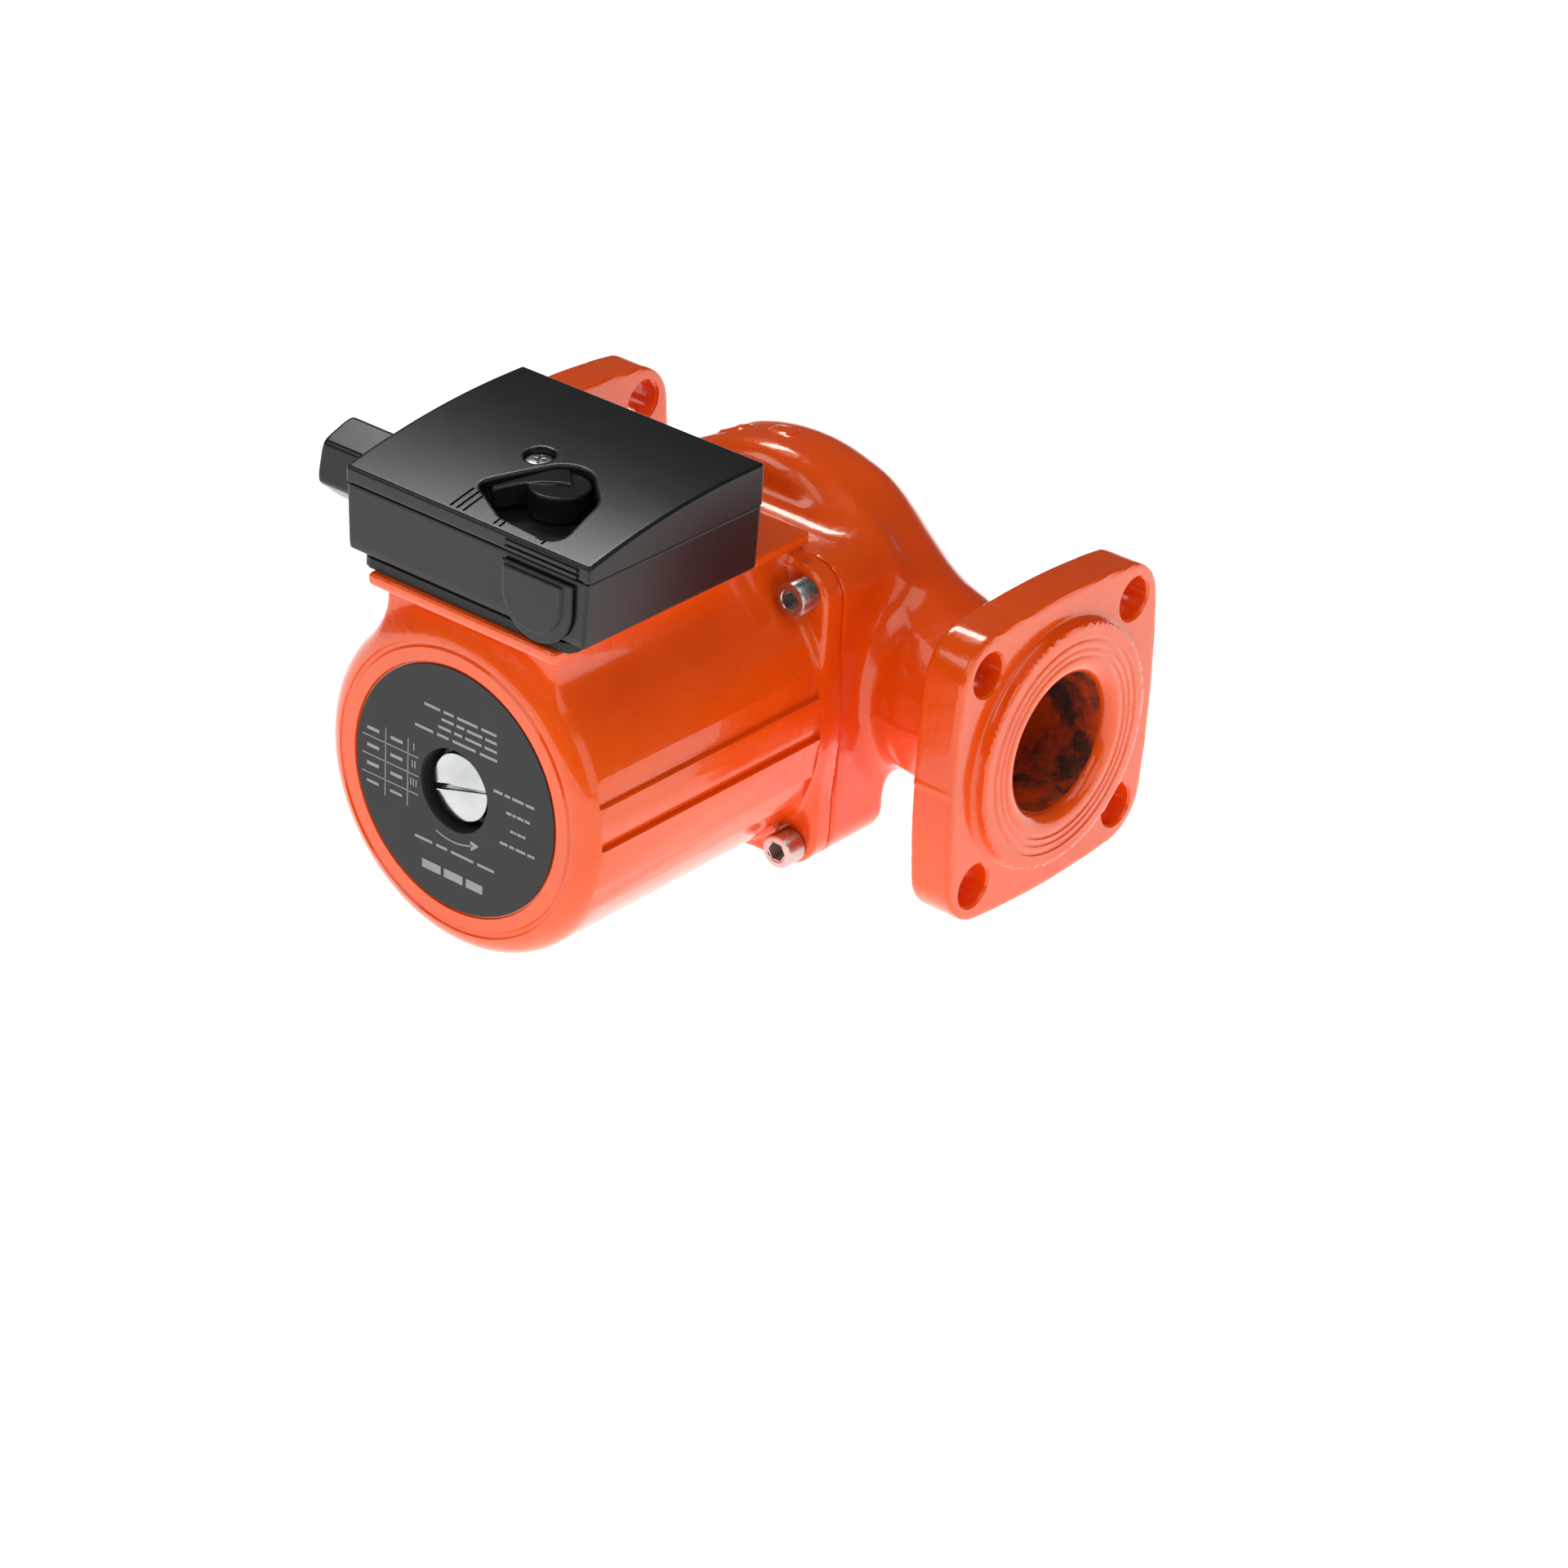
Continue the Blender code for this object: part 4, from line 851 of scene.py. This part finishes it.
def build_base():
    base = surface_net("terminal_base", base_field, (-43, -133.5, 56), (43, -65.2, 75), FINE)
    post = lathe("base_post", [(0, 57), (4.5, 57), (4.5, 76.4), (0, 76.4)], "Z", (*SCREW, 0), 32)
    join(base, post)
    gland_y, gland_z = GLAND
    tools = [lathe("post_bore", [(0, 62), (2.3, 62), (2.3, 82), (0, 82)], "Z", (*SCREW, 0), 24),
             lathe("cable_hole", [(0, 54), (5.5, 54), (5.5, 60), (0, 60)], "Z", CABLE_WAY, 32),
             lathe("gland_hole", [(0, 35), (7.3, 35), (7.3, 46), (0, 46)], "-X", (0, gland_y, gland_z), 32)]
    for hole_x, hole_y in BASE_SCREWS:
        tools.append(lathe("base_hole", [(0, 54), (2.3, 54), (2.3, 60), (0, 60)], "Z",
                           (hole_x, hole_y, 0), 20))
    cut(base, *tools)
    crisp(base, 32)
    finish_piece(base, BLACK, "pump", ["terminal_box_base"])


def blanking_field(x, y, z):
    middle, radius, low = 26.1, 12.2, 65.8
    arch = both(length(x - middle, np.minimum(z - low, 0)) - radius, z - 73.5, 0.3)
    step = both(length(x - middle + 0.9, np.minimum(z - low - 0.6, 0)) - radius + 2.1, z - 72.4, 0.3)
    face = BOX_FRONT - GAP
    outer = both(arch, span(y, face - 0.95, face), 0.35)
    inner = both(step, span(y, face - 1.8, face), 0.45)
    return blend(outer, inner, 0.4)


def build_blanking_cover():
    cover = surface_net("entry_blank", blanking_field, (13.5, -136, 53), (39, -133, 74), 0.35)
    finish_piece(cover, BLACK, "pump", ["blanking_cover"])


# ---------------------------------------------------------------- knob

KNOB_REST = 226.0


def knob_field(x, y, z):
    turn = math.radians(KNOB_REST)
    along = (x - KNOB[0]) * math.cos(turn) + (y - KNOB[1]) * math.sin(turn)
    across = (y - KNOB[1]) * math.cos(turn) - (x - KNOB[0]) * math.sin(turn)
    disc_part = both(length(along, across) - 8.4, span(z, WELL_FLOOR + GAP, 84.0), 0.5)
    teardrop = convex(along, across, hull_outline(((0, 0, 8.0), (16.3, 0, 1.4))))
    top = z - 84.8 + 0.079 * above(along)
    edge = across + 0.9 - 0.0245 * (along - 7.3) ** 2
    pointer = all_of([teardrop, edge, -3.3 - along, np.maximum(top, 77.6 - z)], 0.4)
    body = blend(disc_part, pointer, 0.3)
    stem = np.maximum(length(along, across) - 3.9, span(z, 72.5, 77.0))
    body = np.minimum(body, stem)
    socket = np.maximum(np.maximum(np.abs(along), np.abs(across)) - 1.9, span(z, 71.0, 79.0))
    return np.maximum(body, -socket)


def build_knob():
    knob = surface_net("pointer_knob", knob_field, (-6, -126, 72.4), (20, -98, 85.0), 0.35)
    crisp(knob, 40)
    finish_piece(knob, KNOB_BLACK, "knob", ["speed_knob"])


# ---------------------------------------------------------------- gland

GLAND = (-110.0, 67.1)
GLAND_SPIN = -19.5


def hexagon_field(y, z, radius, rounding):
    """A hexagon about the gland's axis; radius is to its corners."""
    flat = radius * math.cos(math.radians(30))
    sides = []
    for number in range(3):
        angle = math.radians(30 - GLAND_SPIN + 60 * number)
        sides.append(np.abs((y - GLAND[0]) * math.cos(angle) + (z - GLAND[1]) * math.sin(angle)) - flat)
    return all_of(sides, rounding)


def gland_nut_field(x, y, z):
    radial = length(y - GLAND[0], z - GLAND[1])
    hexagon = hexagon_field(y, z, 11.5, 0.8)
    cone = (radial - 11.9 + above(-x - 64.6) * 0.9) * 0.78
    body = all_of([hexagon, span(x, -66.0, -47.6), cone], 0.7)
    thread = np.maximum(radial - 7.3, span(x, -62.0, -46.0))
    mouth = np.maximum(radial - 5.0, span(x, -70.0, -58.0))
    body = np.maximum(body, -thread)
    return carve(body, mouth, 0.7)


def gland_body_field(x, y, z):
    radial = length(y - GLAND[0], z - GLAND[1])
    collar = all_of([hexagon_field(y, z, 11.2, 0.5), span(x, -47.3, -43.3)], 0.5)
    pitch = 1.5
    angle = np.arctan2(z - GLAND[1], y - GLAND[0]) / (2 * math.pi)
    saw = np.abs(np.mod(x / pitch + angle, 1.0) - 0.5) * 2
    thread = both(radial - 7.0 + saw * 0.45, span(x, -57.5, -37.0), 0.3)
    body = np.minimum(collar, thread)
    return np.maximum(body, 4.5 - radial)


def build_gland():
    gland_y, gland_z = GLAND
    nut = surface_net("gland_cap_nut", gland_nut_field, (-66, gland_y - 12, gland_z - 12),
                      (-47.6, gland_y + 12, gland_z + 12), 0.4)
    crisp(nut, 38)
    finish_piece(nut, BLACK, "gland_nut", ["gland_nut"])
    body = surface_net("gland_stem", gland_body_field, (-57.5, gland_y - 12, gland_z - 12),
                       (-37, gland_y + 12, gland_z + 12), 0.35)
    crisp(body, 38)
    finish_piece(body, BLACK, "pump", ["gland_body"])


# ---------------------------------------------------------------- metal pieces

def build_housing_screws():
    seat = -40.1 + 0.3
    for number, (across, up) in enumerate([(a, u) for u in (1, -1) for a in (1, -1)], 1):
        top = -seat + 6.8
        profile = [(0, -20), (2.9, -20), (2.9, seat), (4.6, seat), (5.0, seat - 0.4), (5.0, -top + 0.7),
                   (4.75, -top + 0.2), (4.3, -top), (3.25, -top), (3.0, -top + 0.25), (0, -top + 0.25)]
        place = (across * SCREW_PITCH, 0, up * SCREW_PITCH)
        screw = lathe(f"cap_screw_{number}", profile[::-1], "Y", place, 72)
        socket = prism("socket", arc(0, 0, 2.9, 0, 300, 5), -top - 1, -top + 3.4, "Y", place)
        cut(screw, socket)
        crisp(screw, 30)
        finish_piece(screw, STEEL, "pump", [f"housing_screw_{number}"])


def build_vent_plug():
    top = -133.5
    profile = [(0, -119.6), (7.8, -119.6), (7.8, -130.9), (9.5, -130.9), (9.85, -131.2), (9.85, top + 0.5),
               (9.7, top + 0.15), (9.3, top), (0, top)]
    plug = lathe("vent_screw", profile[::-1], "Y", steps=128)
    tilt = math.radians(16)
    turn = [[math.cos(tilt), 0, -math.sin(tilt)], [0, 1, 0], [math.sin(tilt), 0, math.cos(tilt)]]
    slot = box_solid("vent_slot", (-11, top - 1, -0.9), (11, top + 1.2, 0.9), turn)
    cut(plug, slot)
    soften(plug, 0.12, 2, 50)
    finish_piece(plug, CHROME, "vent_plug", ["vent_plug"])


def build_cover_screw():
    profile = [(0, 66), (1.9, 66), (1.9, 82.0), (3.8, 82.0), (3.9, 82.2), (3.9, 83.7), (3.7, 84.05),
               (3.2, 84.25), (1.8, 84.4), (0, 84.4)]
    screw = lathe("lid_screw", profile, "Z", (*SCREW, 0), 64)
    tools = []
    for turn in (30, 120):
        angle = math.radians(turn)
        matrix = [[math.cos(angle), -math.sin(angle), 0], [math.sin(angle), math.cos(angle), 0], [0, 0, 1]]
        tools.append(box_solid("cross", (SCREW[0] - 2.1, SCREW[1] - 0.4, 83.4),
                               (SCREW[0] + 2.1, SCREW[1] + 0.4, 86), matrix))
    cut(screw, *tools)
    soften(screw, 0.08, 2, 50)
    finish_piece(screw, STEEL, "box_cover", ["cover_screw"])


# ---------------------------------------------------------------- rating plate

PLATE_BACK = END + RECESS_DEPTH - GAP
PLATE_FRONT = PLATE_BACK - 0.35


def build_plate():
    disc_part = lathe("rating_plate", [(12.1, PLATE_BACK), (35.7, PLATE_BACK), (35.7, PLATE_FRONT + 0.1),
                                       (35.6, PLATE_FRONT), (12.1, PLATE_FRONT)], "Y", steps=160)
    crisp(disc_part, 35)
    finish_piece(disc_part, LABEL, "pump", ["nameplate"])


def bar(start, end, thick):
    """The four corners of a straight bar between two (x, z) points of the plate."""
    run = Vector(end) - Vector(start)
    side = Vector((-run.y, run.x)).normalized() * thick / 2
    return [tuple(Vector(start) - side), tuple(Vector(end) - side), tuple(Vector(end) + side),
            tuple(Vector(start) + side)]


def build_label_print():
    """Generic print: an empty speed table, bars for lines, and the arrow of the rotor's turn."""
    shapes = [bar((-25.0, 9.5), (-25.0, -11.2), 0.3), bar((-16.8, 9.5), (-16.8, -11.0), 0.3)]
    for level in (4.9, -0.7, -6.3):
        shapes.append(bar((-33.6, level), (-12.9, level), 0.3))
    for level, count in ((7.6, 1), (2.4, 2), (-3.1, 3)):
        for number in range(count):
            place = -14.7 + (number - (count - 1) / 2) * 1.0
            shapes.append(bar((place, level + 1.1), (place, level - 1.1), 0.35))
        shapes.append(bar((-31.8, level - 0.3), (-27.4, level - 0.3), 1.0))
        shapes.append(bar((-23.2, level - 0.3), (-18.8, level - 0.3), 1.0))
    shapes.append(bar((-31.8, -8.8), (-27.4, -8.8), 0.8))
    shapes.append(bar((-23.2, -8.8), (-18.8, -8.8), 0.8))
    words = ((0.0, 0.22), (0.27, 0.41), (0.46, 0.74), (0.79, 1.0))
    lines = ((-14.4, 15.2, 14.7), (-6.0, 15.0, 17.2), (-4.9, 14.9, 19.7), (-11.2, 14.7, 22.1),
             (14.2, 28.6, 5.8), (18.8, 27.2, 0.9), (20.4, 25.8, -4.1), (16.8, 29.2, -8.8),
             (-13.8, 15.0, -18.7))
    for left, right, level in lines:
        width = right - left
        for start, end in words:
            shapes.append(bar((left + width * start, level), (left + width * end, level), 0.8))
    for start, end in ((-11.0, -4.2), (-3.0, 3.8), (5.0, 11.0)):
        shapes.append(bar((start, -26.0), (end, -26.0), 2.6))
    turn = arc(0, 2.0, 17.6, 249, 294, 14)
    inner = arc(0, 2.0, 17.2, 294, 249, 14)
    shapes.append(turn + inner)
    shapes.append([(9.4, -13.2), (6.6, -15.6), (6.3, -12.6)])
    points = []
    faces = []
    for shape in shapes:
        base = len(points)
        count = len(shape)
        points += [(x, PLATE_FRONT - 0.03, z) for x, z in shape]
        points += [(x, PLATE_FRONT + 0.05, z) for x, z in shape]
        faces += [list(range(base, base + count)), list(range(base + count, base + 2 * count))[::-1]]
        for corner in range(count):
            after = (corner + 1) % count
            faces.append([base + corner, base + count + corner, base + count + after, base + after])
    item = new_object("label_print", points, faces)
    outward(item)
    crisp(item, 30)
    finish_piece(item, PRINT, "pump")


def dress_frame_nodes():
    """Materials for the CAD nodes that stay as they are."""
    looks = {"neck_ring": STAINLESS, "impeller": IMPELLER, "shaft": STAINLESS, "rotor": LAMINATION,
             "thrust_ring": CERAMIC, "front_bearing": CERAMIC, "rear_bearing": CERAMIC,
             "bearing_plate": STAINLESS, "housing_gasket": RUBBER, "rotor_can": STAINLESS,
             "stator_stack": LAMINATION, "winding_front": COPPER, "winding_rear": COPPER,
             "vent_plug_seal": RUBBER, "box_gasket": RUBBER, "switch_spindle": GREY, "speed_switch": GREY,
             "capacitor": GREY, "terminal_block": GREY, "terminal_screw_1": STEEL, "terminal_screw_2": STEEL,
             "terminal_screw_3": STEEL, "base_screw_left": STEEL, "base_screw_right": STEEL,
             "gland_seal": RUBBER}
    for node, material in looks.items():
        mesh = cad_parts[node].data
        mesh.materials.clear()
        mesh.materials.append(material)


# ---------------------------------------------------------------- scene

def build_stage():
    size = 4.0
    work = bmesh.new()
    bmesh.ops.create_grid(work, x_segments=8, y_segments=8, size=size)
    mesh = bpy.data.meshes.new("studio_floor")
    work.to_mesh(mesh)
    work.free()
    floor = bpy.data.objects.new("studio_floor", mesh)
    floor.location.z = CAD_LOW.z - 0.0002
    bpy.context.scene.collection.objects.link(floor)
    pale = Nodes("studio_white", (0.92, 0.92, 0.92), 0.9)
    pale.put("Emission Color", (1, 1, 1, 1))
    pale.put("Emission Strength", 1.0)
    mesh.materials.append(pale.material)


def area_light(name, place, target, size, power):
    data = bpy.data.lights.new(name, "AREA")
    data.shape = "RECTANGLE"
    data.size, data.size_y = size
    data.energy = power
    item = bpy.data.objects.new(name, data)
    item.location = Vector(place)
    item.rotation_euler = (Vector(target) - Vector(place)).to_track_quat("-Z", "Y").to_euler()
    bpy.context.scene.collection.objects.link(item)


def build_lights():
    world = bpy.data.worlds.new("studio")
    world.use_nodes = True
    background = world.node_tree.nodes["Background"]
    background.inputs["Color"].default_value = (1, 1, 1, 1)
    background.inputs["Strength"].default_value = 0.07
    bpy.context.scene.world = world
    area_light("key", (0.2, -1.3, 1.3), (0, 0, 0.05), (1.5, 1.0), 8.2)
    area_light("top", (0.6, -0.1, 1.5), (0, 0, 0.05), (1.2, 0.9), 5.2)
    area_light("back", (-0.68, 0.36, 1.12), (0, -0.09, 0.12), (0.46, 0.22), 5.0)
    area_light("left", (-0.78, -0.84, 0.92), (-0.05, -0.07, 0.11), (0.50, 0.40), 2.0)
    area_light("side", (1.6, -0.1, 0.6), (0, 0, 0.05), (1.1, 1.0), 4.2)


def build_camera():
    azimuth, elevation, roll = (math.radians(angle) for angle in (38.535, 28.668, 3.168))
    back = Vector((math.sin(azimuth) * math.cos(elevation), -math.cos(azimuth) * math.cos(elevation),
                   math.sin(elevation)))
    right = Vector((math.cos(azimuth), math.sin(azimuth), 0))
    up = back.cross(right)
    turned_right = right * math.cos(roll) + up * math.sin(roll)
    turned_up = back.cross(turned_right)
    data = bpy.data.cameras.new("camera")
    data.sensor_width = 36.0
    data.lens = 119.68
    camera = bpy.data.objects.new("camera", data)
    place = CENTRE + (back * 1471.489 + turned_right * 0.033 - turned_up * 44.331) * MM
    axes = Matrix((turned_right, turned_up, back)).transposed()
    camera.matrix_world = Matrix.Translation(place) @ axes.to_4x4()
    bpy.context.scene.collection.objects.link(camera)
    bpy.context.scene.camera = camera


STEP = 0.9
FINE = 0.5

build_pump_housing()
build_motor_housing()
build_cover()
build_base()
build_blanking_cover()
build_knob()
build_gland()
build_housing_screws()
build_vent_plug()
build_cover_screw()
build_plate()
build_label_print()
dress_frame_nodes()
build_stage()
build_lights()
build_camera()
bpy.context.scene.view_settings.view_transform = "Standard"
